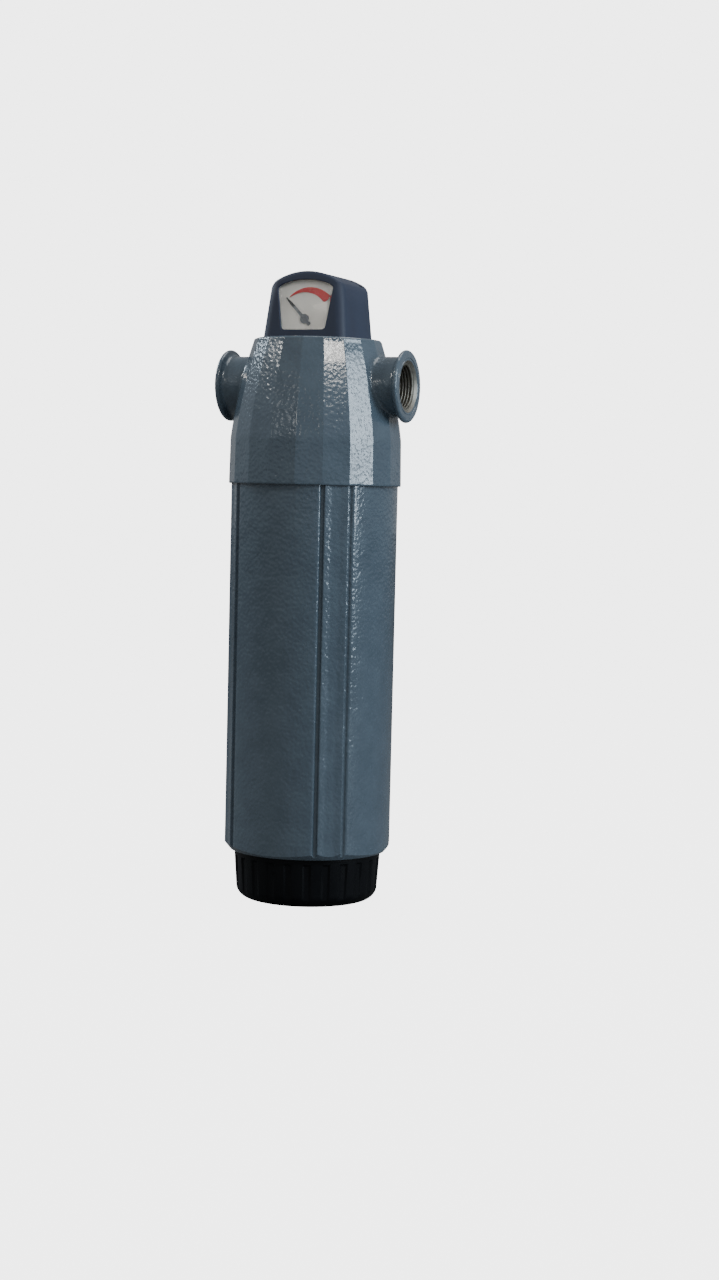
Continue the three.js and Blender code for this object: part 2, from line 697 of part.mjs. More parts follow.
function elementTopCap() {
  const body = ring([
    [ELEMENT_HOLE, ELEMENT_TOP - END_CAP_THICK],
    [ELEMENT_RADIUS, ELEMENT_TOP - END_CAP_THICK],
    [ELEMENT_RADIUS, ELEMENT_TOP - CHAMFER],
    [ELEMENT_RADIUS - CHAMFER, ELEMENT_TOP],
    [ELEMENT_SPIGOT + ELEMENT_FILLET, ELEMENT_TOP],
    [ELEMENT_SPIGOT, ELEMENT_TOP + ELEMENT_FILLET],
    [ELEMENT_SPIGOT, ELEMENT_SPIGOT_TOP - CHAMFER],
    [ELEMENT_SPIGOT - CHAMFER, ELEMENT_SPIGOT_TOP],
    [ELEMENT_HOLE, ELEMENT_SPIGOT_TOP],
  ], MIDDLE_ROUND);
  const { grooveRadius, halfGroove } = ELEMENT_SEAL;
  const past = ELEMENT_SPIGOT + OVERCUT;
  const grooves = ELEMENT_SEAL_LEVELS.map((z) =>
    tube(grooveRadius, past, z - halfGroove, z + halfGroove, MIDDLE_ROUND),
  );
  return cut(body, ...grooves);
}

function elementBottomCap() {
  const top = ELEMENT_BOTTOM + END_CAP_THICK;
  return turned([
    [0, ELEMENT_BOTTOM],
    [ELEMENT_RADIUS - CHAMFER, ELEMENT_BOTTOM],
    [ELEMENT_RADIUS, ELEMENT_BOTTOM + CHAMFER],
    [ELEMENT_RADIUS, top],
    [0, top],
  ], MIDDLE_ROUND);
}

function elementCore() {
  const { inner, outer, levels, slotHalfWidth, bridge } = CORE;
  const wall = tube(inner, outer, MEDIA_LOW, MEDIA_HIGH, MIDDLE_ROUND);
  const pitch = (MEDIA_HIGH - MEDIA_LOW) / levels;
  const past = outer + OVERCUT;
  const slots = [];
  for (let level = 0; level < levels; level += 1) {
    const low = MEDIA_LOW + pitch * (level + bridge);
    const high = MEDIA_LOW + pitch * (level + 1 - bridge);
    const slot = block([-past, -slotHalfWidth, low], [past, slotHalfWidth, high]);
    slots.push(slot, slot.rotate([0, 0, 90]));
  }
  return cut(wall, ...slots);
}

function starPoints(inner, outer) {
  const points = [];
  for (let i = 0; i < PLEATS * 2; i += 1) {
    const [x, y] = polar(i % 2 ? outer : inner, (180 / PLEATS) * i);
    points.push(new THREE.Vector2(x, y));
  }
  return points;
}

function pleatedMedia() {
  const { inner, outer, thick } = MEDIA;
  const shape = new THREE.Shape(starPoints(inner + thick, outer));
  shape.holes.push(new THREE.Path(starPoints(inner, outer - thick * 2)));
  return raised(shape, MEDIA_LOW, MEDIA_HIGH);
}

function elementLayer({ inner, outer }) {
  return tube(inner, outer, MEDIA_LOW, MEDIA_HIGH, MIDDLE_ROUND);
}

function elementSeal(z) {
  return oRing(ELEMENT_SEAL.radius, ELEMENT_SEAL.section, z, MIDDLE_ROUND);
}

// ---- Gauge --------------------------------------------------------------------------------

function roundedRectangle(width, depth, corner) {
  const x = width / 2 - corner;
  const y = depth / 2 - corner;
  const shape = new THREE.Shape();
  const quarter = Math.PI / 2;
  [[x, y], [-x, y], [-x, -y], [x, -y]].forEach(([cx, cy], i) => {
    shape.absarc(cx, cy, corner, i * quarter, (i + 1) * quarter, false);
  });
  return shape;
}

// A rounded block that narrows upwards, its front the most, made from one outline.
function taperedBlock(inset, frontInset = inset) {
  const width = CAP_WIDTH - 2 * inset;
  const front = CAP_FRONT + frontInset;
  const back = CAP_BACK - inset;
  const height = CAP_PEAK - HEAD_TOP;
  const shape = roundedRectangle(width, back - front, CAP_CORNER - inset);
  const geometry = new THREE.ExtrudeGeometry(shape, {
    depth: height,
    bevelEnabled: false,
    curveSegments: 5,
  });
  const halfDepth = (back - front) / 2;
  const place = geometry.attributes.position;
  for (let i = 0; i < place.count; i += 1) {
    const z = place.getZ(i);
    const y = place.getY(i);
    const lean = y < 0 ? CAP_LEAN.front : CAP_LEAN.back;
    place.setX(i, place.getX(i) * (1 - (2 * CAP_LEAN.side * z) / width));
    place.setY(i, y * (1 - (lean * z) / halfDepth));
  }
  return solid(geometry.translate(0, (front + back) / 2, HEAD_TOP + GAP));
}

// Everything under the cap's arch, which runs from front to back.
function underArch(radius) {
  const shape = new THREE.Shape();
  const reach = radius - CAP_ARCH_SIDE;
  const centre = CAP_PEAK - CAP_ARCH;
  const start = Math.acos(reach / radius);
  shape.moveTo(-reach, HEAD_TOP - OVERCUT);
  shape.lineTo(reach, HEAD_TOP - OVERCUT);
  shape.absarc(0, centre, radius, start, Math.PI - start, false);
  return facing(shape, -CAP_WIDTH, CAP_WIDTH, SMALL_ROUND);
}

// The window's outline, grown by a margin, in X and Z.
function windowShape(margin) {
  const low = HEAD_TOP + GAP + WINDOW.low - margin;
  const high = HEAD_TOP + GAP + WINDOW.low + WINDOW.straight;
  const bottom = WINDOW.bottom / 2 + margin;
  const top = WINDOW.top / 2 + margin;
  const { corner } = WINDOW;
  const arch = WINDOW.arch + margin;
  const centre = high - Math.sqrt(WINDOW.arch ** 2 - (WINDOW.top / 2) ** 2);
  const topAngle = Math.acos((top - corner / 2) / arch);
  const shape = new THREE.Shape();
  shape.moveTo(-bottom + corner, low);
  shape.lineTo(bottom - corner, low);
  shape.quadraticCurveTo(bottom, low, bottom + WINDOW_EASE.low, low + corner);
  shape.lineTo(top - WINDOW_EASE.high, high - corner / 2);
  shape.absarc(0, centre, arch, topAngle, Math.PI - topAngle, false);
  shape.lineTo(-top + WINDOW_EASE.high, high - corner / 2);
  shape.lineTo(-bottom - WINDOW_EASE.low, low + corner);
  shape.quadraticCurveTo(-bottom, low, -bottom + corner, low);
  return shape;
}

// A shallow slot beside a screw, cut to the same depth all along the arch.
function capRecess(side) {
  const { x, length, width, depth } = CAP_RECESS;
  const reach = length / 2;
  const low = [side * x - reach, SCREW.y - width / 2, SCREW.seat];
  const high = [side * x + reach, SCREW.y + width / 2, CAP_PEAK];
  return cut(block(low, high), underArch(CAP_ARCH - depth));
}

function gaugeCap() {
  const outside = taperedBlock(0).intersect(underArch(CAP_ARCH));
  const inside = taperedBlock(CAP_WALL, CAP_FRONT_WALL)
    .translate([0, 0, -OVERCUT])
    .intersect(underArch(CAP_ARCH - CAP_WALL));
  const openingBack = CAP_FRONT + WINDOW_CUT;
  const opening = facing(windowShape(0), CAP_FRONT - OVERCUT, openingBack, CURVE_STEPS);
  const { x, y, seat } = SCREW;
  const pillarTop = seat + SCREW_PILLAR.aboveSeat;
  const pillar = rod(SCREW_PILLAR.radius, HEAD_TOP + GAP, pillarTop, SMALL_ROUND);
  const counterbore = rod(SCREW.head + GAP, seat, CAP_PEAK, SMALL_ROUND);
  const hole = rod(SCREW.shank + GAP, HEAD_TOP, CAP_PEAK, PIN_ROUND);
  let shell = cut(outside, inside);
  for (const side of [-1, 1]) {
    const at = [side * x, y, 0];
    const post = pillar.translate(at).intersect(outside);
    shell = cut(join(shell, post), counterbore.translate(at), hole.translate(at));
    shell = cut(shell, capRecess(side));
  }
  return cut(shell, opening);
}

function gaugeWindow() {
  const layer = (front, back) => cut(taperedBlock(0, front), taperedBlock(0, back));
  const back = CAP_FRONT + WINDOW_CUT;
  const outline = (margin) => facing(windowShape(margin), CAP_FRONT, back, CURVE_STEPS);
  const pane = outline(-GAP).intersect(layer(PANE.front, PANE.back));
  const flange = outline(WINDOW_FLANGE).intersect(layer(PANE.flangeFront, PANE.back));
  return join(pane, flange);
}

// Sets a piece made upright round the pointer's axis, with the dial at y = 0, on the leaning dial.
function onDial(body) {
  return body.rotate([-LEAN_ANGLE, 0, 0]).translate([0, DIAL_Y, POINTER_Z]);
}

function dialPlate() {
  const upright = facing(windowShape(WINDOW_FLANGE), 0, DIAL_THICK, CURVE_STEPS);
  const plate = upright.translate([0, 0, -POINTER_Z]);
  const hole = alongY(rod(BUSH.outer + GAP, -OVERCUT, DIAL_THICK + OVERCUT, SMALL_ROUND));
  return onDial(cut(plate, hole));
}

// The comma-shaped warning zone: thin where it starts and widest at its rounded end.
function dialRedZone() {
  const { start, end, inner, outer, startInner, startOuter } = RED_ZONE;
  const { lerp } = THREE.MathUtils;
  const far = [];
  const near = [];
  for (let i = 0; i <= RED_ZONE_STEPS; i += 1) {
    const t = i / RED_ZONE_STEPS;
    const a = 90 - lerp(start, end, t);
    far.push(new THREE.Vector2(...polar(lerp(startOuter, outer, t), a)));
    near.push(new THREE.Vector2(...polar(lerp(startInner, inner, t), a)));
  }
  const shape = new THREE.Shape([...far, ...near.reverse()]);
  return onDial(facing(shape, -GAP - RED_ZONE_THICK, -GAP));
}

function pointer() {
  const { length, neck, tail, front, back, hub } = POINTER;
  const shape = new THREE.Shape();
  shape.moveTo(0, length);
  shape.lineTo(POINTER_HALF.neck, neck);
  shape.lineTo(POINTER_HALF.tail, -tail);
  shape.lineTo(-POINTER_HALF.tail, -tail);
  shape.lineTo(-POINTER_HALF.neck, neck);
  const needle = facing(shape, front, back);
  const disc = alongY(rod(hub, front, back, SMALL_ROUND));
  return onDial(join(needle, disc).rotate([0, -POINTER_REST, 0]));
}

function pointerSpindle() {
  return onDial(alongY(rod(SPINDLE.radius, SPINDLE.front, SPINDLE.back, PIN_ROUND)));
}

function pointerBush() {
  return onDial(alongY(tube(BUSH.inner, BUSH.outer, BUSH.front, BUSH.back, SMALL_ROUND)));
}

function pointerMagnet() {
  return onDial(alongY(rod(POINTER_MAGNET.radius, SPINDLE.back + GAP, POINTER_REACH)));
}

// The block that holds the gauge's piston and joins it to the head's two pressure taps.
function gaugeBlock() {
  const floor = HEAD_TOP + GAP;
  const under = floor - OVERCUT;
  const plateEnd = [PLATE.side, PLATE.back, floor + PLATE.thick];
  const plate = block([-PLATE.side, PLATE.front, floor], plateEnd);
  const tower = block([TOWER.left, TOWER.front, floor + OVERCUT], [PLATE.side, TOWER.back, TOWER.top]);
  const standEnd = [STAND.halfWidth, STAND.back, floor + STAND.height];
  const stand = block([-STAND.halfWidth, STAND.front, floor], standEnd);
  const slotStart = [-STAND_SLOT.halfWidth, STAND.front - OVERCUT, POINTER_Z - STAND_SLOT.depth];
  const slot = block(slotStart, [STAND_SLOT.halfWidth, STAND.back + OVERCUT, POINTER_Z]);
  const bore = rod(PISTON_BORE, under, TOWER.boreTop, SMALL_ROUND);
  const channel = rod(TAP_RADIUS, under, TOWER.boreTop, PIN_ROUND);
  const crossingEnd = [TAP_X, PISTON_Y, CROSSING.z];
  const crossing = bar(CROSSING.radius, [0, PISTON_Y, CROSSING.z], crossingEnd);
  return cut(
    join(plate, tower, stand),
    slot,
    bore.translate([0, PISTON_Y, 0]),
    channel.translate([TAP_X, PISTON_Y, 0]),
    crossing,
    sealGroove(BORE_GROOVE, 0),
    sealGroove(TAP_GROOVE, TAP_X),
  );
}

function sealGroove({ inner, outer }, x) {
  const floor = HEAD_TOP + GAP;
  const groove = tube(inner, outer, floor - OVERCUT, floor + TAP_SEAL.grooveDepth, SMALL_ROUND);
  return groove.translate([x, PISTON_Y, 0]);
}

function sensorSeal({ middle }, x) {
  const seal = oRing(middle, TAP_SEAL.section, HEAD_TOP + GAP + TAP_SEAL.lift, SMALL_ROUND);
  return seal.translate([x, PISTON_Y, 0]);
}

function sensingPiston() {
  const { radius, low, high, pocket, pocketDepth } = PISTON;
  const body = turned([
    [0, low],
    [radius, low],
    [radius, high],
    [pocket, high],
    [pocket, high - pocketDepth],
    [0, high - pocketDepth],
  ], SMALL_ROUND);
  return body.translate([0, PISTON_Y, 0]);
}

function pistonMagnet() {
  const { high, pocket, pocketDepth } = PISTON;
  const magnet = rod(pocket - GAP, high - pocketDepth + GAP, high - GAP, SMALL_ROUND);
  return magnet.translate([0, PISTON_Y, 0]);
}

class Helix extends THREE.Curve {
  getPoint(t) {
    const { radius, turns, low, high } = SPRING;
    const a = t * turns * 2 * Math.PI;
    return new THREE.Vector3(radius * Math.cos(a), radius * Math.sin(a), low + t * (high - low));
  }
}

function pistonSpring() {
  const section = new THREE.Shape();
  section.absarc(0, 0, SPRING.wire, 0, 2 * Math.PI, false);
  const coil = new THREE.ExtrudeGeometry(section, {
    extrudePath: new Helix(),
    steps: SPRING.turns * PIN_ROUND,
    curveSegments: 3,
  });
  return solid(coil).translate([0, PISTON_Y, 0]);
}

function capScrew(side) {
  const { x, y, head, headHeight, shank, seat, tip } = SCREW;
  const low = seat + GAP;
  const top = low + headHeight;
  const body = turned([
    [0, tip],
    [shank, tip + CHAMFER],
    [shank, low],
    [head, low],
    [head, top - SCREW_EDGE],
    [head - SCREW_EDGE, top],
    [0, top],
  ], PIN_ROUND);
  const socket = rod(shank, top - headHeight / 2, top + OVERCUT, HEXAGON);
  return cut(body, socket).translate([side * x, y, 0]);
}

// ---- Assembly -----------------------------------------------------------------------------

function assembled(...meshes) {
  const group = new THREE.Group();
  group.add(...meshes);
  return group;
}

const head = assembled(
  named("filter_head", filterHead(), PAINT),
  named("gauge_cap", gaugeCap(), NAVY),
  named("gauge_window", gaugeWindow(), CLEAR),
  named("dial_plate", dialPlate(), WHITE),
  named("dial_red_zone", dialRedZone(), RED),
  named("gauge_block", gaugeBlock(), ALUMINIUM),
  named("pointer_bush", pointerBush(), BRASS),
  named("sensor_o_ring_upstream", sensorSeal(BORE_GROOVE, 0), RUBBER),
  named("sensor_o_ring_downstream", sensorSeal(TAP_GROOVE, TAP_X), RUBBER),
  named("cap_screw_left", capScrew(-1), STEEL),
  named("cap_screw_right", capScrew(1), STEEL),
);

const gaugeMovement = assembled(
  named("pointer", pointer(), BLACK),
  named("pointer_spindle", pointerSpindle(), STEEL),
  named("pointer_magnet", pointerMagnet(), ALUMINIUM),
  named("sensing_piston", sensingPiston(), BRASS),
  named("piston_magnet", pistonMagnet(), ALUMINIUM),
  named("piston_spring", pistonSpring(), STEEL),
);

const bowl = assembled(
  named("bowl_o_ring", bigSeal(SPIGOT_GROOVE), RUBBER),
  named("bowl_tube", bowlTube(), PAINT),
  named("base_plug", basePlug(), ALUMINIUM),
  named("plug_o_ring", bigSeal(PLUG_GROOVE), RUBBER),
  named("base_cap", baseCap(), BLACK),
);

const drain = assembled(
  named("drain_body", drainBody(), BRASS),
  named("drain_gasket", drainGasket(), RUBBER),
  named("drain_nut", drainNut(), BRASS),
  named("drain_cage", drainCage(), WHITE),
  named("valve_seat", valveSeat(), RUBBER),
  named("lever_pin", leverPin(), STEEL),
  named("float_lever", floatLever(), STEEL),
  named("drain_float", drainFloat(), WHITE),
  named("valve_pin", valvePin(), STEEL),
  named("drain_knob", drainKnob(), BLACK),
);

const element = assembled(
  named("element_top_cap", elementTopCap(), ALUMINIUM),
  named("element_bottom_cap", elementBottomCap(), ALUMINIUM),
  named("element_core", elementCore(), STEEL),
  named("pleated_media", pleatedMedia(), FIBRE),
  named("outer_sleeve", elementLayer(SLEEVE), STEEL),
  named("foam_sock", elementLayer(SOCK), FOAM),
  ...ELEMENT_SEAL_LEVELS.map((z, i) => named(`element_o_ring_${i + 1}`, elementSeal(z), RUBBER)),
);

export default assembled(head, gaugeMovement, bowl, drain, element);
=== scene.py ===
"""The looks of the compressed air filter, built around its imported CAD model.

Metres, +Z up, in the CAD model's own frame: the ports lie along X and the gauge looks along -Y.
"""

import json
import math

import bmesh
import bpy
from mathutils import Matrix, Vector


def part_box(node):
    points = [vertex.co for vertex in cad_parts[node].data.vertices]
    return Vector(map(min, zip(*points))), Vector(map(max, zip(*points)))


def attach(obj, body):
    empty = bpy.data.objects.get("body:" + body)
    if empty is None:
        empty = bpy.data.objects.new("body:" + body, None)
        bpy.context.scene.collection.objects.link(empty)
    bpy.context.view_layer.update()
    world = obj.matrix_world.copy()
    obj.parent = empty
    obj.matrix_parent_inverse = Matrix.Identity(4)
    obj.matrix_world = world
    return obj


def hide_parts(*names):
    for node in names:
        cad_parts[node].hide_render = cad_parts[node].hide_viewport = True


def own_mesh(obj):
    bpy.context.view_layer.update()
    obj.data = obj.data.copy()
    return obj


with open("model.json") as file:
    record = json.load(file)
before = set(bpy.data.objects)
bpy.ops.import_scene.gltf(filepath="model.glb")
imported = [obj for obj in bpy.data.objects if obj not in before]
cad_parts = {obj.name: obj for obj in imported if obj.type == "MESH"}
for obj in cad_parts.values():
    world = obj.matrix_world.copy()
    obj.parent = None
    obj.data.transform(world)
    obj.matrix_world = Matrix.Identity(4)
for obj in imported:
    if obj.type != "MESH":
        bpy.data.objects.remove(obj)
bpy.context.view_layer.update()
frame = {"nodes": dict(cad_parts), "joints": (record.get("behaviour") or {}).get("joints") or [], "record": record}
MM = 0.001

# ---- Where things are, read from the CAD nodes ------------------------------------------------

HEAD_LOW, HEAD_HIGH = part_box("filter_head")
TUBE_LOW, TUBE_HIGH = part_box("bowl_tube")
BASE_LOW, BASE_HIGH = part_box("base_cap")
CAP_LOW, CAP_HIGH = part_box("gauge_cap")
MOUNTS = {m["name"]: m for m in frame["record"]["mounts"]}
JOINTS = {j["name"]: j for j in frame["joints"]}

HEAD_BOTTOM = HEAD_LOW.z
HEAD_TOP = HEAD_HIGH.z
PORT_FACE = HEAD_HIGH.x
MOUNT_ABOVE_PORT = 22.5 * MM
PORT_Z = MOUNTS["outlet_flange"]["pos_m"][2] - MOUNT_ABOVE_PORT
POINTER_PIVOT = Vector(JOINTS["pointer_turn"]["pos_m"])


# ---- Camera and light ---------------------------------------------------------------------------

SURROUND_SEEN = 4.2
SURROUND_FELT = 0.33
FLOOR_SEEN = 4.1


def make_camera():
    """The photograph's view: a long lens a little above the middle, 22.5 degrees round to the right."""
    azimuth = math.radians(22.5)
    distance = 1.593
    height = 0.300
    pan = math.radians(1.245)
    pitch = math.radians(4.0)
    roll = math.radians(1.35)
    place = Vector((distance * math.sin(azimuth), -distance * math.cos(azimuth), height))
    heading = azimuth - pan
    forward = Vector((
        -math.sin(heading) * math.cos(pitch),
        math.cos(heading) * math.cos(pitch),
        -math.sin(pitch),
    ))
    turn = forward.to_track_quat("-Z", "Y").to_matrix().to_4x4()
    data = bpy.data.cameras.new("camera")
    data.sensor_width = 36.0
    data.lens = 61.9
    camera = bpy.data.objects.new("camera", data)
    camera.matrix_world = Matrix.Translation(place) @ turn @ Matrix.Rotation(roll, 4, "Z")
    bpy.context.scene.collection.objects.link(camera)
    bpy.context.scene.camera = camera


def soft_light(name, azimuth, elevation, distance, size, power, colour):
    """A rectangular lamp that faces the head, at an azimuth in degrees from -Y towards +X."""
    a = math.radians(azimuth)
    e = math.radians(elevation)
    aim = Vector((0, 0, 0.34))
    way = Vector((math.sin(a) * math.cos(e), -math.cos(a) * math.cos(e), math.sin(e)))
    data = bpy.data.lights.new(name, "AREA")
    data.shape = "RECTANGLE"
    data.size, data.size_y = size
    data.energy = power
    data.color = colour
    lamp = bpy.data.objects.new(name, data)
    facing = way.to_track_quat("Z", "Y").to_matrix().to_4x4()
    lamp.matrix_world = Matrix.Translation(aim + way * distance) @ facing
    bpy.context.scene.collection.objects.link(lamp)


def make_lights():
    """Each lamp: azimuth, elevation, distance, (width, height), watts and colour."""
    cool = (0.76, 0.89, 1.0)
    warm = (1.0, 0.95, 0.88)
    soft_light("window_right", 86, 14, 1.7, (0.44, 1.05), 19, cool)
    soft_light("window_left", -97, 32, 1.7, (0.45, 0.60), 12, cool)
    soft_light("ceiling_right", 51, 36, 2.0, (0.22, 0.20), 6.5, warm)
    soft_light("ceiling_left", -60, 34, 2.0, (0.22, 0.22), 7.0, warm)
    soft_light("ceiling_front", -8, 19, 2.2, (0.9, 0.10), 2.4, warm)
    soft_light("overhead", 150, 70, 1.8, (1.2, 1.2), 12, (1, 1, 1))


def make_world():
    """An even pale surround, brighter where the camera sees it directly."""
    world = bpy.data.worlds.new("surround")
    bpy.context.scene.world = world
    world.use_nodes = True
    nodes, links = world.node_tree.nodes, world.node_tree.links
    nodes.clear()
    out = nodes.new("ShaderNodeOutputWorld")
    seen = nodes.new("ShaderNodeBackground")
    seen.inputs["Color"].default_value = (1, 1, 1, 1)
    seen.inputs["Strength"].default_value = SURROUND_SEEN
    felt = nodes.new("ShaderNodeBackground")
    felt.inputs["Color"].default_value = (0.93, 0.96, 1, 1)
    felt.inputs["Strength"].default_value = SURROUND_FELT
    path = nodes.new("ShaderNodeLightPath")
    mix = nodes.new("ShaderNodeMixShader")
    links.new(path.outputs["Is Camera Ray"], mix.inputs["Fac"])
    links.new(felt.outputs[0], mix.inputs[1])
    links.new(seen.outputs[0], mix.inputs[2])
    links.new(mix.outputs[0], out.inputs["Surface"])


# ---- Mesh making --------------------------------------------------------------------------------

def new_piece(name, source):
    """An object in the scene, from a mesh or from a bmesh that is done with."""
    mesh = source
    if isinstance(source, bmesh.types.BMesh):
        mesh = bpy.data.meshes.new(name)
        bmesh.ops.recalc_face_normals(source, faces=source.faces)
        source.to_mesh(mesh)
        source.free()
    piece = bpy.data.objects.new(name, mesh)
    bpy.context.scene.collection.objects.link(piece)
    return piece


def walls(b, rows):
    """Faces from each row of vertices to the next."""
    for low, high in zip(rows, rows[1:]):
        for i, v in enumerate(low):
            j = (i + 1) % len(low)
            b.faces.new((v, low[j], high[j], high[i]))


def skin(name, rings, closed=False):
    """A surface through rings of points. Open ends are capped; closed joins the last ring to the first."""
    b = bmesh.new()
    rows = [[b.verts.new(p) for p in ring] for ring in rings]
    walls(b, rows + rows[:1] if closed else rows)
    if not closed:
        b.faces.new(rows[0][::-1])
        b.faces.new(rows[-1])
    return new_piece(name, b)


def held(share):
    """A value held between 0 and 1."""
    return min(max(share, 0), 1)


def eased(share):
    """A share from 0 to 1 with a soft start and end."""
    share = held(share)
    return share * share * (3 - 2 * share)


def rounding(start, corner, end, t):
    """A value on the curve that rounds off a corner, as t goes from 0 to 1."""
    return (1 - t) ** 2 * start + 2 * t * (1 - t) * corner + t * t * end


def ridge(across, width, slope):
    """How far a thread stands up, 0 to 1, at a share of the way across its pitch."""
    return held(width - slope * abs(across - 0.5))


def circle(radius, z, sides):
    step = 2 * math.pi / sides
    return [Vector((radius * math.cos(i * step), radius * math.sin(i * step), z)) for i in range(sides)]


def turned(name, profile, sides=96, closed=True):
    """A piece turned about Z from (radius, height) points: a closed loop, or a rod if closed is false."""
    return skin(name, [circle(r, z, sides) for r, z in profile], closed)


def arc(centre, radius, start, end, steps):
    """Points on an arc as (x, y) pairs, from a start to an end angle in degrees."""
    angles = [math.radians(start + (end - start) * i / steps) for i in range(steps + 1)]
    return [(centre[0] + radius * math.cos(a), centre[1] + radius * math.sin(a)) for a in angles]


def prism(name, outline, front, back):
    """An outline in X and Z made solid from y = front to y = back."""
    return skin(name, [[Vector((x, y, z)) for x, z in outline] for y in (front, back)])


def settle(piece):
    """Turns the piece's modifiers into its mesh."""
    graph = bpy.context.evaluated_depsgraph_get()
    done = bpy.data.meshes.new_from_object(piece.evaluated_get(graph))
    old = piece.data
    piece.modifiers.clear()
    piece.data = done
    bpy.data.meshes.remove(old)
    return piece


def combine(piece, operation, *tools):
    """Joins, cuts or crosses a piece with tools, exactly, and throws the tools away."""
    for tool in tools:
        modifier = piece.modifiers.new(operation, "BOOLEAN")
        modifier.object = tool
        modifier.operation = operation
        modifier.solver = "EXACT"
        settle(piece)
        bpy.data.objects.remove(tool)
    return piece


def cut(piece, *tools):
    return combine(piece, "DIFFERENCE", *tools)


def join(piece, *tools):
    return combine(piece, "UNION", *tools)


def soften(piece, width, segments=3, angle=35):
    """Rounds the piece's sharp edges."""
    modifier = piece.modifiers.new("soften", "BEVEL")
    modifier.width = width
    modifier.segments = segments
    modifier.limit_method = "ANGLE"
    modifier.angle_limit = math.radians(angle)
    return settle(piece)


def shade(piece, angle=30):
    """Smooth shading that keeps edges sharper than the angle."""
    b = bmesh.new()
    b.from_mesh(piece.data)
    limit = math.radians(angle)
    for face in b.faces:
        face.smooth = True
    for edge in b.edges:
        if len(edge.link_faces) == 2:
            edge.smooth = edge.calc_face_angle(0) < limit
    b.to_mesh(piece.data)
    b.free()
    return piece


def lay_along_x(piece, side=1):
    """Turns a piece made about Z so that it lies along +X or -X."""
    piece.data.transform(Matrix.Rotation(side * math.pi / 2, 4, "Y"))
    return piece


def face_front(piece):
    """Turns a piece made about Z so that it faces -Y."""
    piece.data.transform(Matrix.Rotation(math.pi / 2, 4, "X"))
    return piece


def moved(piece, x=0.0, y=0.0, z=0.0):
    piece.data.transform(Matrix.Translation((x, y, z)))
    return piece


def finished(piece, body, slot, look, *nodes):
    """Gives a piece its material and its body, and hides the CAD nodes it stands for. The slot is not used."""
    piece.data.materials.clear()
    piece.data.materials.append(look)
    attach(piece, body)
    if nodes:
        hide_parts(*nodes)
    return piece


def threaded_rod(name, major, minor, pitch, turns, sides=72, samples=10):
    """A rod about Z with a helical thread on it, from z = 0 up, to cut a threaded hole with."""
    b = bmesh.new()
    rows = []
    for i in range(sides):
        a = 2 * math.pi * i / sides
        row = []
        for v in range(samples * turns + 1):
            across = (v % samples) / samples
            r = minor + (major - minor) * ridge(across, 1.35, 4.0)
            z = pitch * (v / samples + i / sides)
            row.append(b.verts.new((r * math.cos(a), r * math.sin(a), z)))
        rows.append(row)
    for i in range(sides - 1):
        for v in range(samples * turns):
            b.faces.new((rows[i][v], rows[i + 1][v], rows[i + 1][v + 1], rows[i][v + 1]))
    for v in range(samples * (turns - 1)):
        b.faces.new((rows[-1][v], rows[0][v + samples], rows[0][v + samples + 1], rows[-1][v + 1]))
    bottom = [row[0] for row in rows] + [rows[0][v] for v in range(samples, 0, -1)]
    last = samples * turns
    top_turn = last - samples
    top = [row[last] for row in rows]
    top += [rows[-1][v] for v in range(last - 1, top_turn - 1, -1)]
    for loop, z in ((bottom, 0.0), (top, pitch * (turns + 1))):
        middle = b.verts.new((0, 0, z))
        for i, v in enumerate(loop):
            b.faces.new((v, loop[(i + 1) % len(loop)], middle))
    return new_piece(name, b)


# ---- Materials ----------------------------------------------------------------------------------

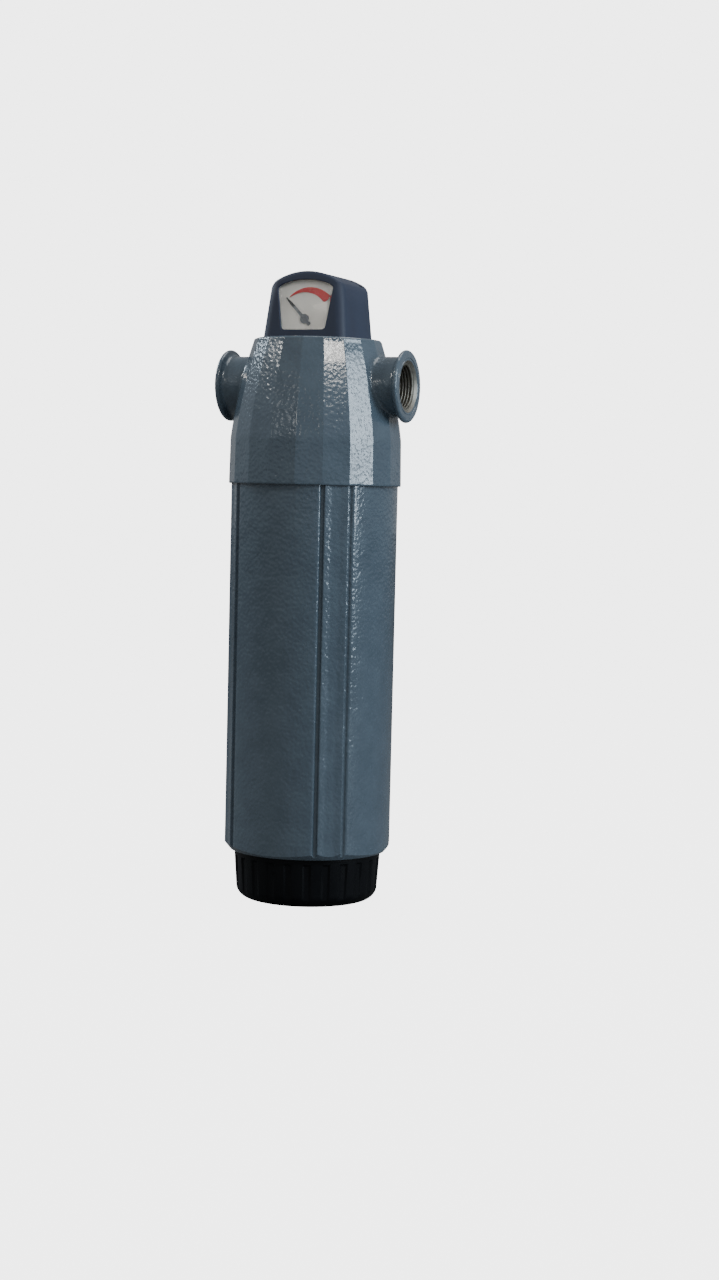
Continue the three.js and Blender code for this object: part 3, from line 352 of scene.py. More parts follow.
class Look:
    """A node material around one Principled shader, in the object's own metres."""

    def __init__(self, name, **constants):
        self.material = bpy.data.materials.new(name)
        self.material.use_nodes = True
        self.tree = self.material.node_tree
        self.shader = self.tree.nodes["Principled BSDF"]
        for socket, value in constants.items():
            self.shader.inputs[socket.replace("_", " ")].default_value = value
        self.place = self.tree.nodes.new("ShaderNodeTexCoord").outputs["Object"]

    def node(self, kind, inputs=(), **settings):
        made = self.tree.nodes.new(kind)
        for key, value in settings.items():
            setattr(made, key, value)
        for key, value in dict(inputs).items():
            if isinstance(value, bpy.types.NodeSocket):
                self.tree.links.new(value, made.inputs[key])
            else:
                made.inputs[key].default_value = value
        return made

    def stretched(self, x, y, z):
        """The coordinates scaled differently along each axis, for grain with a direction."""
        return self.node("ShaderNodeMapping", {"Vector": self.place, "Scale": (x, y, z)}).outputs["Vector"]

    def noise(self, size, detail=3.0, roughness=0.5, vector=None):
        """A smooth random value whose features are about size across."""
        inputs = {"Vector": vector or self.place, "Scale": 1 / size, "Detail": detail, "Roughness": roughness}
        return self.node("ShaderNodeTexNoise", inputs).outputs["Fac"]

    def cells(self, size, smooth=0.0):
        """Distance from the middle of the nearest of many cells about size across."""
        made = self.node("ShaderNodeTexVoronoi", {"Vector": self.place, "Scale": 1 / size})
        if smooth:
            made.feature = "SMOOTH_F1"
            made.inputs["Smoothness"].default_value = smooth
        return made.outputs["Distance"]

    def spread(self, value, low, high, to_low, to_high):
        """A value from one range carried to another, held at both ends."""
        inputs = {0: value, 1: low, 2: high, 3: to_low, 4: to_high}
        return self.node("ShaderNodeMapRange", inputs, clamp=True).outputs["Result"]

    def sum(self, first, second, share):
        """first + second * share."""
        inputs = {0: second, 1: share, 2: first}
        return self.node("ShaderNodeMath", inputs, operation="MULTIPLY_ADD").outputs[0]

    def blend(self, factor, first, second):
        """A colour between two colours, each a socket or (red, green, blue)."""
        ends = [c if isinstance(c, bpy.types.NodeSocket) else (*c, 1) for c in (first, second)]
        made = self.node("ShaderNodeMix", {0: factor, 6: ends[0], 7: ends[1]}, data_type="RGBA")
        return made.outputs[2]

    def edges(self, radius):
        """1 along edges and corners, 0 on plain surfaces."""
        rounded = self.node("ShaderNodeBevel", {"Radius": radius}, samples=4).outputs["Normal"]
        plain = self.node("ShaderNodeNewGeometry").outputs["Normal"]
        turn = self.node("ShaderNodeVectorMath", {0: rounded, 1: plain}, operation="DOT_PRODUCT")
        sharpest, flattest = 0.65, 0.98
        return self.spread(turn.outputs["Value"], sharpest, flattest, 1, 0)

    def set(self, socket, value):
        self.tree.links.new(value, self.shader.inputs[socket])

    def bump(self, *layers):
        """Bumps laid on each other, each a (height value, depth in metres) pair."""
        normal = None
        for height, depth in layers:
            inputs = {"Height": height, "Distance": depth, "Strength": 1.0}
            if normal is not None:
                inputs["Normal"] = normal
            normal = self.node("ShaderNodeBump", inputs).outputs["Normal"]
        self.set("Normal", normal)


def hammered_paint():
    """Blue-grey gloss enamel with a fine hammered skin."""
    look = Look("hammered_paint", IOR=1.52, Coat_Weight=0.35, Coat_Roughness=0.07, Metallic=0.05)
    dimples = look.cells(2.3 * MM, smooth=1.0)
    ripple = look.noise(2.6 * MM, 1.5, 0.4)
    broad = look.noise(16 * MM, 2)
    fleck = look.noise(0.7 * MM, 2)
    tone = look.spread(look.sum(broad, fleck, 0.35), 0.45, 0.9, 0, 1)
    paint = look.blend(tone, (0.080, 0.112, 0.144), (0.097, 0.135, 0.171))
    # Lighter colour along the edges, broken by the ripple: a painted highlight.
    edge_highlight = look.spread(look.sum(look.edges(0.5 * MM), ripple, 0.5), 0.75, 1.35, 0, 0.35)
    look.set("Base Color", look.blend(edge_highlight, paint, (0.14, 0.175, 0.20)))
    look.set("Roughness", look.spread(broad, 0.35, 0.65, 0.17, 0.23))
    look.bump((broad, 0.4 * MM), (dimples, 0.25 * MM), (ripple, 0.21 * MM))
    return look.material


def moulded(name, colour, light, grain, roughness, depth, **constants):
    """Moulded plastic with a fine grain, faint flow marks and a painted highlight along its edges."""
    look = Look(name, IOR=1.48, **constants)
    speck = look.noise(grain, 3)
    flow = look.noise(18 * MM, 3, vector=look.stretched(1, 1, 0.35))
    tone = look.spread(look.sum(flow, speck, 0.4), 0.45, 0.95, 0, 1)
    # Lighter colour along the edges, broken by noise: a painted highlight.
    edge_highlight = look.spread(look.sum(look.edges(0.6 * MM), look.noise(3 * MM), 0.6), 0.8, 1.5, 0, 0.5)
    look.set("Base Color", look.blend(edge_highlight, look.blend(tone, colour, light), [c * 2.2 + 0.01 for c in light]))
    wear = look.sum(flow, speck, 0.6)
    look.set("Roughness", look.spread(wear, 0.5, 1.1, roughness - 0.06, roughness + 0.08))
    look.bump((flow, 0.06 * MM), (speck, depth))
    return look.material


def metal(name, colour, roughness, grain, marks=0.02 * MM):
    """Bare metal with fine tool marks, dull patches and a painted highlight along its edges."""
    look = Look(name, Metallic=1.0)
    lines = look.noise(0.25 * MM, 2, vector=look.stretched(*grain))
    patch = look.noise(4 * MM, 3)
    tone = look.spread(look.sum(patch, lines, 0.3), 0.4, 0.9, 0, 1)
    plain = look.blend(tone, [c * 0.72 for c in colour], colour)
    # Lighter colour along the edges: a painted highlight.
    metal_edge_highlight = look.spread(look.edges(0.3 * MM), 0.2, 1, 0, 0.5)
    look.set("Base Color", look.blend(metal_edge_highlight, plain, [min(c * 1.25, 0.95) for c in colour]))
    wear = look.sum(lines, patch, 0.7)
    look.set("Roughness", look.spread(wear, 0.5, 1.2, roughness - 0.08, roughness + 0.12))
    look.bump((lines, marks))
    return look.material


def printed(name, colour, shade_colour):
    """A printed plate: an even colour with faint screen grain and slight yellowing."""
    look = Look(name, IOR=1.45)
    grain = look.noise(0.18 * MM, 2)
    patch = look.noise(12 * MM, 2)
    tone = look.spread(look.sum(patch, grain, 0.25), 0.45, 0.85, 0, 1)
    look.set("Base Color", look.blend(tone, colour, shade_colour))
    look.set("Roughness", look.spread(grain, 0.3, 0.7, 0.46, 0.6))
    look.bump((grain, 0.008 * MM))
    return look.material


def clear_window():
    """Clear glossy plastic that lamps shine through."""
    look = Look("clear_window", Transmission_Weight=1.0, IOR=1.34)
    haze = look.noise(6 * MM, 3)
    look.set("Roughness", look.spread(haze, 0.4, 0.7, 0.06, 0.11))
    look.set("Base Color", look.blend(haze, (0.95, 0.97, 0.98), (0.98, 0.985, 0.985)))
    look.bump((haze, 0.02 * MM))
    path = look.node("ShaderNodeLightPath")
    through = look.node("ShaderNodeBsdfTransparent", {"Color": (0.93, 0.95, 0.96, 1)})
    inputs = {0: path.outputs["Is Shadow Ray"], 1: look.shader.outputs[0], 2: through.outputs[0]}
    mix = look.node("ShaderNodeMixShader", inputs)
    look.tree.links.new(mix.outputs[0], look.tree.nodes["Material Output"].inputs["Surface"])
    return look.material


def porous(name, colour, light, pore, depth):
    """Foam or fleece: open cells or fibres that catch light."""
    look = Look(name, IOR=1.4, Sheen_Weight=0.2)
    holes = look.cells(pore)
    fibres = look.noise(pore * 0.6, 4, 0.6)
    tone = look.spread(look.sum(holes, fibres, 0.6), 0.3, 1.1, 0, 1)
    look.set("Base Color", look.blend(tone, colour, light))
    look.set("Roughness", look.spread(fibres, 0.3, 0.7, 0.85, 0.95))
    look.bump((holes, depth), (fibres, depth * 0.5))
    return look.material


LOOKS = {
    "hammertone_paint": hammered_paint(),
    "gauge_plastic": moulded(
        "navy_plastic", (0.028, 0.037, 0.065), (0.036, 0.048, 0.082),
        grain=0.5 * MM, roughness=0.50, depth=0.02 * MM, Specular_IOR_Level=0.32,
    ),
    "base_plastic": moulded(
        "black_plastic", (0.0022, 0.0026, 0.0036), (0.004, 0.0046, 0.006),
        grain=0.5 * MM, roughness=0.42, depth=0.022 * MM, Specular_IOR_Level=0.16,
    ),
    "drain_plastic": moulded(
        "natural_plastic", (0.62, 0.61, 0.56), (0.70, 0.69, 0.64),
        grain=0.4 * MM, roughness=0.42, depth=0.012 * MM,
    ),
    "pointer_black": printed("pointer_black", (0.012, 0.012, 0.014), (0.022, 0.022, 0.024)),
    "dial_white": printed("dial_white", (0.60, 0.575, 0.53), (0.655, 0.63, 0.59)),
    "dial_red": printed("dial_red", (0.36, 0.007, 0.009), (0.46, 0.011, 0.012)),
    "gauge_glass": clear_window(),
    "machined_aluminium": metal("machined_aluminium", (0.66, 0.67, 0.68), 0.34, (0.15, 0.15, 3)),
    "brass_fittings": metal("brass", (0.70, 0.50, 0.24), 0.30, (0.15, 0.15, 3)),
    "fastener_steel": metal("fastener_steel", (0.56, 0.57, 0.58), 0.28, (1, 1, 2)),
    "seal_rubber": moulded(
        "seal_rubber", (0.008, 0.008, 0.008), (0.016, 0.016, 0.016),
        grain=0.3 * MM, roughness=0.55, depth=0.015 * MM,
    ),
    "filter_fibre": porous("filter_fibre", (0.70, 0.67, 0.58), (0.84, 0.82, 0.74), 0.5 * MM, 0.08 * MM),
    "filter_foam": porous("filter_foam", (0.48, 0.38, 0.10), (0.72, 0.60, 0.22), 1.1 * MM, 0.3 * MM),
}
THREAD_METAL = metal("threaded_metal", (0.34, 0.325, 0.285), 0.50, (3, 0.3, 0.3), 0.03 * MM)


def finish_cad_nodes():
    """Gives every CAD node the look of its slot in the record."""
    for entry in frame["record"]["subparts"]:
        node = frame["nodes"][entry["node"]]
        for holder in node.material_slots:
            holder.material = LOOKS[entry["material_slot"]]


# ---- Head ---------------------------------------------------------------------------------------

HEAD_SIDES = 20
CORNER_ROUND = 2.4 * MM
SHOULDER_Z = HEAD_BOTTOM + 32.6 * MM
SHOULDER_RADIUS = 61.7
SHOULDER_TAPER = 0.12
SHOULDER_CROWN = 680
SKIRT_TAPER = 0.018
SHOULDER_BLEND = 8
TOP_EDGE = 2.3 * MM
SKIRT_EDGE = 0.9 * MM
NECK_RADIUS = 21 * MM
ROOT_FILLET = 2.4 * MM
FLANGE_RADIUS = 25.75 * MM
FLANGE_THICK = 3.7 * MM
FLANGE_FILLET = 3.0 * MM
FACE_GROOVE = 20 * MM
THREAD_MAJOR = 16.62 * MM
THREAD_MINOR = 15.15 * MM
THREAD_PITCH = 2.309 * MM
THREAD_DEPTH = 19 * MM
PASSAGE_RADIUS = 14 * MM
PORT_CHAMFER = 1.9 * MM
BOWL_SOCKET = 55.4 * MM
SOCKET_TOP = HEAD_BOTTOM + 22.7 * MM
ROOM_RADIUS = 50 * MM
ROOM_CHAMFER = 4 * MM
ROOM_TOP = HEAD_BOTTOM + 44 * MM
STEM_RADIUS = 20 * MM
STEM_BOTTOM = HEAD_BOTTOM + 28 * MM
OUTLET_DROP_RADIUS = 11 * MM
OUTLET_DROP_X = 37 * MM


def corner_radius(z):
    """Distance from the axis to a corner of the many-sided barrel, at a height."""
    rise = (z - SHOULDER_Z) / MM
    shoulder = SHOULDER_RADIUS - SHOULDER_TAPER * rise - rise * rise / SHOULDER_CROWN
    skirt = SHOULDER_RADIUS - SKIRT_TAPER * rise
    blend = eased(rise / SHOULDER_BLEND + 0.5)
    return (skirt + (shoulder - skirt) * blend) * MM


def barrel_ring(radius, z):
    """The barrel's outline at a height: twenty flat sides that meet in rounded corners."""
    half = math.pi / HEAD_SIDES
    apothem = radius * math.cos(half)
    centre = (apothem - CORNER_ROUND) / math.cos(half)
    side = centre * math.sin(half)
    ring = []
    for k in range(HEAD_SIDES):
        turn = Matrix.Rotation(2 * half * k, 3, "Z")
        ring += [turn @ Vector((apothem, side * share, z)) for share in (-1, -0.5, 0, 0.5)]
        middle = Vector((centre * math.cos(half), side, z))
        for i in range(7):
            a = 2 * half * i / 7
            outward = Vector((math.cos(a), math.sin(a), 0))
            ring.append(turn @ (middle + outward * CORNER_ROUND))
    return ring


def barrel_side(y, z):
    """Distance from the axis to the barrel's surface along X, at a place off the axis."""
    half = math.pi / HEAD_SIDES
    apothem = corner_radius(z) * math.cos(half)
    turns = [2 * half * k for k in range(-3, 4)]
    return min((apothem - y * math.sin(a)) / math.cos(a) for a in turns)


def head_barrel():
    """The many-sided barrel, with a rounded foot and top edge."""
    rings = []
    for a in (0, 0.4, 0.8, 1.2, 1.57):
        z = HEAD_BOTTOM + SKIRT_EDGE * (1 - math.cos(a))
        rings.append(barrel_ring(corner_radius(z) - SKIRT_EDGE * (1 - math.sin(a)), z))
    steps = 44
    low = HEAD_BOTTOM + 2 * SKIRT_EDGE
    high = HEAD_TOP - TOP_EDGE
    for i in range(steps + 1):
        z = low + (high - low) * i / steps
        rings.append(barrel_ring(corner_radius(z), z))
    for i in range(1, 9):
        a = math.pi / 2 * i / 8
        z = high + TOP_EDGE * math.sin(a)
        inset = TOP_EDGE * (1 - math.cos(a))
        rings.append(barrel_ring(corner_radius(high) - inset, z))
    return skin("head_casting", rings)


def port_neck(side):
    """A neck whose root fillet follows the barrel's surface, with its flange."""
    sides = 96
    start = 38 * MM
    back = PORT_FACE - FLANGE_THICK
    rim = FLANGE_THICK / 2
    root = []
    for i in range(sides):
        a = 2 * math.pi * i / sides
        wide = NECK_RADIUS + ROOT_FILLET
        away = Vector((0, math.cos(a), math.sin(a)))
        foot = barrel_side(wide * away.y, PORT_Z + wide * away.z) - 0.1 * MM
        bend = barrel_side(NECK_RADIUS * away.y, PORT_Z + NECK_RADIUS * away.z)
        curve = [Vector((start, 0, 0)) + away * wide]
        for step in range(9):
            t = step / 8
            x = rounding(foot, bend, bend + ROOT_FILLET, t)
            r = rounding(wide, NECK_RADIUS, NECK_RADIUS, t)
            curve.append(Vector((x, 0, 0)) + away * r)
        root.append(curve)
    rings = [[curve[step] for curve in root] for step in range(10)]
    fillet = arc((back - FLANGE_FILLET, NECK_RADIUS + FLANGE_FILLET), FLANGE_FILLET, -90, 0, 8)
    edge = arc((back + rim, FLANGE_RADIUS - rim), rim, 180, 0, 12)
    groove_floor = PORT_FACE - 0.5 * MM
    inner_face = PORT_FACE - 0.12 * MM
    face = [
        (PORT_FACE, FACE_GROOVE + 0.45 * MM),
        (groove_floor, FACE_GROOVE + 0.25 * MM),
        (groove_floor, FACE_GROOVE - 0.25 * MM),
        (inner_face, FACE_GROOVE - 0.5 * MM),
        (inner_face, THREAD_MAJOR + PORT_CHAMFER + 0.25 * MM),
        (PORT_FACE - 0.3 * MM, THREAD_MAJOR + PORT_CHAMFER),
        (PORT_FACE - PORT_CHAMFER, THREAD_MAJOR),
    ]
    step = 2 * math.pi / sides
    for x, r in fillet + edge + face:
        rings.append([Vector((x, r * math.cos(i * step), r * math.sin(i * step))) for i in range(sides)])
    neck = skin("neck", rings)
    if side < 0:
        neck.data.transform(Matrix.Rotation(math.pi, 4, "Z"))
    return moved(neck, z=PORT_Z)


def port_bore(side, start):
    """The hole in a port: the thread's room, and a passage from a start beside the head's axis."""
    bottom = PORT_FACE - THREAD_DEPTH
    profile = [
        (PASSAGE_RADIUS, start),
        (PASSAGE_RADIUS, bottom - 1 * MM),
        (THREAD_MAJOR, bottom),
        (THREAD_MAJOR, PORT_FACE + 2 * MM),
    ]
    return moved(lay_along_x(turned("bore", profile, 96, closed=False), side), z=PORT_Z)


def head_casting():
    """The casting, hollow for the bowl and the element, whose stem carries the inlet air down."""
    casting = join(head_barrel(), port_neck(-1), port_neck(1))
    cavity = turned("cavity", [
        (BOWL_SOCKET, HEAD_BOTTOM - 1 * MM),
        (BOWL_SOCKET, SOCKET_TOP),
        (ROOM_RADIUS, SOCKET_TOP + 0.1 * MM),
        (ROOM_RADIUS, ROOM_TOP - ROOM_CHAMFER),
        (ROOM_RADIUS - ROOM_CHAMFER, ROOM_TOP),
        (STEM_RADIUS, ROOM_TOP),
        (STEM_RADIUS, STEM_BOTTOM),
        (PASSAGE_RADIUS, STEM_BOTTOM),
        (PASSAGE_RADIUS, PORT_Z),
    ], 96, closed=False)
    drop = [(OUTLET_DROP_RADIUS, ROOM_TOP - 1 * MM), (OUTLET_DROP_RADIUS, PORT_Z)]
    outlet_drop = moved(turned("outlet_drop", drop, 48, closed=False), x=OUTLET_DROP_X)
    cut(casting, cavity, outlet_drop, port_bore(-1, -10 * MM), port_bore(1, 22 * MM))
    return finished(shade(casting, 26), "head", "hammertone_paint", LOOKS["hammertone_paint"], "filter_head")


def port_thread(name, side):
    """The pipe thread in a port, as a bare metal lining of its bore."""
    turns = 11
    low = PORT_FACE - THREAD_DEPTH + 0.3 * MM
    high = PORT_FACE - PORT_CHAMFER
    brim = THREAD_MAJOR + PORT_CHAMFER
    sleeve = turned(name, [
        (THREAD_MINOR - 1 * MM, low),
        (THREAD_MAJOR + 0.25 * MM, low),
        (THREAD_MAJOR + 0.25 * MM, high),
        (brim, PORT_FACE - 0.35 * MM),
        (brim - 0.35 * MM, PORT_FACE - 0.35 * MM),
        (THREAD_MAJOR - 0.2 * MM, high - 0.1 * MM),
        (THREAD_MINOR - 1 * MM, high - 0.1 * MM),
    ], 96)
    rod = threaded_rod("rod", THREAD_MAJOR - 0.05 * MM, THREAD_MINOR, THREAD_PITCH, turns, 96)
    cut(sleeve, moved(rod, z=low - 2.6 * THREAD_PITCH))
    lay_along_x(sleeve, side)
    moved(sleeve, z=PORT_Z)
    return finished(shade(sleeve, 25), "head", "machined_aluminium", THREAD_METAL)


# ---- Bowl ---------------------------------------------------------------------------------------

TUBE_TURN = -7.7
FACE_MIDDLE = 57.8 * MM
FACE_SWEEP = 74 * MM
FACE_HALF = 33.0
GROOVE_MIDDLE = 35.4
GROOVE_HALF = 0.95
GROOVE_RADIUS = 58.3 * MM
PAD_RADIUS = 60.75 * MM
PAD_HALF = 8.3
PAD_FLOOR = 58.95 * MM
PAD_FLOOR_HALF = 3.0
SPIGOT_RADIUS = 55.1 * MM
SPIGOT_PITCH = 4 * MM
SPIGOT_THREAD_DEPTH = 1.5 * MM
SPIGOT_THREAD_END = 0.5 * MM
SPIGOT_TOP = TUBE_HIGH.z
TUBE_SHOULDER = HEAD_BOTTOM
TUBE_CORE = 50 * MM


def face_reach(degrees):
    """Distance from the axis to a flat face's slight curve, at an angle from its middle."""
    back = FACE_SWEEP - FACE_MIDDLE
    a = math.radians(degrees)
    return math.sqrt(FACE_SWEEP ** 2 - (back * math.sin(a)) ** 2) - back * math.cos(a)


def polar_curve(points):
    """Rounds corners given as (before, corner, after, how much), each place a (degrees, radius) pair."""
    rounded = []
    for (a0, r0), (a1, r1), (a2, r2), bend in points:
        for i in range(5):
            t = i / 4
            before = (a1 + (a0 - a1) * bend, r1 + (r0 - r1) * bend)
            after = (a1 + (a2 - a1) * bend, r1 + (r2 - r1) * bend)
            rounded.append((rounding(before[0], a1, after[0], t), rounding(before[1], r1, after[1], t)))
    return rounded


def half_quarter():
    """From the middle of a face to the middle of a corner pad, as (degrees, radius) pairs."""
    points = [(a, face_reach(a)) for a in range(0, int(FACE_HALF) - 1, 2)]
    lip = (FACE_HALF, face_reach(FACE_HALF))
    floor_in = (GROOVE_MIDDLE - GROOVE_HALF, GROOVE_RADIUS)
    floor_out = (GROOVE_MIDDLE + GROOVE_HALF, GROOVE_RADIUS)
    pad_edge = (45 - PAD_HALF, PAD_RADIUS)
    flank = (45 - (PAD_HALF + PAD_FLOOR_HALF) / 2, (PAD_RADIUS + PAD_FLOOR) / 2)
    floor_edge = (45 - PAD_FLOOR_HALF, PAD_FLOOR)
    points += polar_curve([
        (points[-1], lip, floor_in, 0.5),
        (lip, floor_in, floor_out, 0.3),
        (floor_in, floor_out, pad_edge, 0.3),
        (floor_out, pad_edge, flank, 0.35),
        (flank, floor_edge, (45, PAD_FLOOR), 0.6),
    ])
    points.append((45, PAD_FLOOR))
    return points


def tube_outline():
    """The whole outline as (radians, radius) pairs, turned with the tube."""
    half = half_quarter()
    back = [(90 - a, r) for a, r in half[::-1]]
    quarter = half + back[1:-1]
    return [(math.radians(a + 90 * k + TUBE_TURN), r) for k in range(4) for a, r in quarter]


def spigot_radius(angle, z):
    """The spigot's radius: a coarse rounded thread below its seal, and a plain land above."""
    start = TUBE_SHOULDER + 1.2 * MM
    end = TUBE_SHOULDER + 10.3 * MM
    if not start < z < end:
        return SPIGOT_RADIUS
    phase = ((z - start) / SPIGOT_PITCH - angle / (2 * math.pi)) % 1
    ends = min((z - start) / SPIGOT_THREAD_END, (end - z) / SPIGOT_THREAD_END, 1)
    return SPIGOT_RADIUS - SPIGOT_THREAD_DEPTH * ends * (1 - ridge(phase, 1.4, 4.2))


def bowl_tube():
    """The tube, with its threaded spigot above and its corners cut to a cone at the foot."""
    outline = tube_outline()

    def ring(radius_at, z):
        return [Vector((radius_at(a, r) * math.cos(a), radius_at(a, r) * math.sin(a), z)) for a, r in outline]

    def plain(radius):
        return lambda a, r: radius

    low = TUBE_LOW.z
    groove_low = HEAD_BOTTOM + 11 * MM
    groove_high = HEAD_BOTTOM + 13.8 * MM
    seal_floor = 52.9 * MM
    rings = [ring(lambda a, r: r, low + (TUBE_SHOULDER - low) * share) for share in (0, 0.25, 0.5, 0.75, 1)]
    steps = 36
    top = TUBE_SHOULDER + 10.5 * MM
    for i in range(steps + 1):
        z = TUBE_SHOULDER + (top - TUBE_SHOULDER) * i / steps
        rings.append(ring(lambda a, r, z=z: spigot_radius(a, z), z))
    rings += [
        ring(plain(SPIGOT_RADIUS), groove_low),
        ring(plain(seal_floor), groove_low),
        ring(plain(seal_floor), groove_high),
        ring(plain(SPIGOT_RADIUS), groove_high),
        ring(plain(SPIGOT_RADIUS), SPIGOT_TOP - 1 * MM),
        ring(plain(SPIGOT_RADIUS - 1 * MM), SPIGOT_TOP),
        ring(plain(TUBE_CORE), SPIGOT_TOP),
        ring(plain(TUBE_CORE), low),
    ]
    tube = skin("bowl_body", rings, closed=True)
    beyond = PAD_RADIUS + 3 * MM
    slope = 5.2 / 4.2
    end_radius = 56.6 * MM
    cone = turned("cone", [
        (end_radius, low),
        (beyond, low + (beyond - end_radius) * slope),
        (beyond, SPIGOT_TOP + 2 * MM),
        (TUBE_CORE - 2 * MM, SPIGOT_TOP + 2 * MM),
        (TUBE_CORE - 2 * MM, low),
    ], 256)
    combine(tube, "INTERSECT", cone)
    return finished(shade(tube, 28), "bowl", "hammertone_paint", LOOKS["hammertone_paint"], "bowl_tube")


# ---- Base cap -----------------------------------------------------------------------------------

FLUTES = 24
FLUTE_TOP = 32 * MM
FLUTE_END = 1.2 * MM
FLUTE_FLOOR = 50.2 * MM
FLUTE_RISE = 1.55 * MM
FLUTE_HALF = 0.46
FLUTE_FLANK = 0.22
BASE_RIM = 53.2 * MM
BASE_FOOT = 51.3 * MM
BASE_FLOOR = 40.9 * MM
BASE_FOOT_Z = 9.3 * MM
BASE_BORE = 47.2 * MM
BASE_HOLE = 16 * MM


def base_radius(z):
    """The plain outside of the base cap: a slight taper above a round foot."""
    if z >= BASE_FOOT_Z:
        share = (z - BASE_FOOT_Z) / (BASE_HIGH.z - BASE_FOOT_Z)
        return BASE_FOOT + (BASE_RIM - BASE_FOOT) * share
    drop = 1 - z / BASE_FOOT_Z
    return BASE_FLOOR + (BASE_FOOT - BASE_FLOOR) * math.sqrt(1 - drop ** 2)


def flute_depth(outer, across, z):
    """How deep a flute is, at a place across it from -1 to 1 and at a height."""
    floor_radius = FLUTE_FLOOR + FLUTE_RISE * z / FLUTE_TOP
    ending = math.sqrt(held((FLUTE_TOP - z) / FLUTE_END))
    return max(outer - floor_radius, 0) * ending * eased((FLUTE_HALF - abs(across)) / FLUTE_FLANK)


def base_cap():
    """The fluted cap: a round foot, flutes up to a plain collar, and a hole for the drain."""
    per_flute = 22
    sides = FLUTES * per_flute
    rings = []
    rim = BASE_HIGH.z
    levels = [BASE_FOOT_Z * (1 - math.cos(math.pi / 2 * i / 14)) for i in range(15)]
    levels += [BASE_FOOT_Z + (FLUTE_TOP - BASE_FOOT_Z) * i / 12 for i in range(1, 12)]
    levels += [FLUTE_TOP + rise * MM for rise in (-1.2, -0.7, -0.3, 0, 0.1)] + [rim - 0.9 * MM]
    for z in levels:
        outer = base_radius(z)
        ring = []
        for i in range(sides):
            across = (i % per_flute) / per_flute * 2 - 1
            r = outer - flute_depth(outer, across, z)
            a = 2 * math.pi * i / sides
            ring.append(Vector((r * math.cos(a), r * math.sin(a), z)))
        rings.append(ring)
    inside = [
        (BASE_RIM - 0.1 * MM, rim - 0.45 * MM),
        (BASE_RIM - 0.8 * MM, rim),
        (BASE_BORE, rim),
        (BASE_BORE, BASE_FOOT_Z + 4 * MM),
        (BASE_FLOOR, 4.6 * MM),
        (BASE_HOLE + 2 * MM, 3.4 * MM),
        (BASE_HOLE, 2.8 * MM),
        (BASE_HOLE, 0.6 * MM),
        (BASE_HOLE + 0.6 * MM, 0),
    ]
    rings += [circle(r, z, sides) for r, z in inside]
    cap = skin("base_cover", rings, closed=True)
    return finished(shade(cap, 32), "base", "base_plastic", LOOKS["base_plastic"], "base_cap")


# ---- Gauge --------------------------------------------------------------------------------------

CAP_FLOOR_Z = CAP_LOW.z
CAP_PEAK = CAP_HIGH.z
CAP_HALF_X = CAP_HIGH.x
CAP_HALF_Y = (CAP_HIGH.y - CAP_LOW.y) / 2
CAP_MIDDLE_Y = (CAP_HIGH.y + CAP_LOW.y) / 2
CAP_CORNER = 7.5 * MM
SIDE_LEAN = 0.108
FRONT_LEAN = 0.127
BACK_LEAN = 0.014
CAP_ARCH = 44.9 * MM
CAP_EDGE = 1.9 * MM
CAP_WALL = 2.5 * MM
CAP_FRONT_WALL = 1.6 * MM
WINDOW_FOOT = CAP_FLOOR_Z + 5 * MM
WINDOW_SHOULDER = CAP_FLOOR_Z + 36 * MM
SCREW_X = 23 * MM
SCREW_Y = 17 * MM
SCREW_SEAT = 437 * MM
SCREW_HOLE = 1.8 * MM
SCREW_WELL = 3.3 * MM
WELL_FLARE = 3 * MM
PILLAR_RADIUS = 4.5 * MM
PILLAR_RISE = 3.4 * MM
ARCH_SHARE = 0.88
WINDOW_HALF_FOOT = 16.7 * MM
WINDOW_HALF_TOP = 21.1 * MM
WINDOW_ARCH = 50 * MM
WINDOW_CORNER = 2.6 * MM
WINDOW_TIP = 2.2 * MM
RECESS_X = 11 * MM


def arch_z(x, radius):
    """The height of the cap's arched top, at a distance from its middle."""
    return CAP_PEAK - CAP_ARCH + math.sqrt(radius ** 2 - x ** 2)


def half_outline(half_x, half_y, corner):
    """The front half of a rounded rectangle from left to right: (x, y, outward x, outward y)."""
    points = []
    steps = 10
    for i in range(steps + 1):
        a = math.radians(180 + 90 * i / steps)
        out = (math.cos(a), math.sin(a))
        points.append((-half_x + corner + corner * out[0], -half_y + corner + corner * out[1], *out))
    across = 20
    reach = half_x - corner
    points += [(-reach + 2 * reach * i / across, -half_y, 0.0, -1.0) for i in range(1, across)]
    points += [(-x, y, -nx, ny) for x, y, nx, ny in points[:steps + 1][::-1]]
    return points


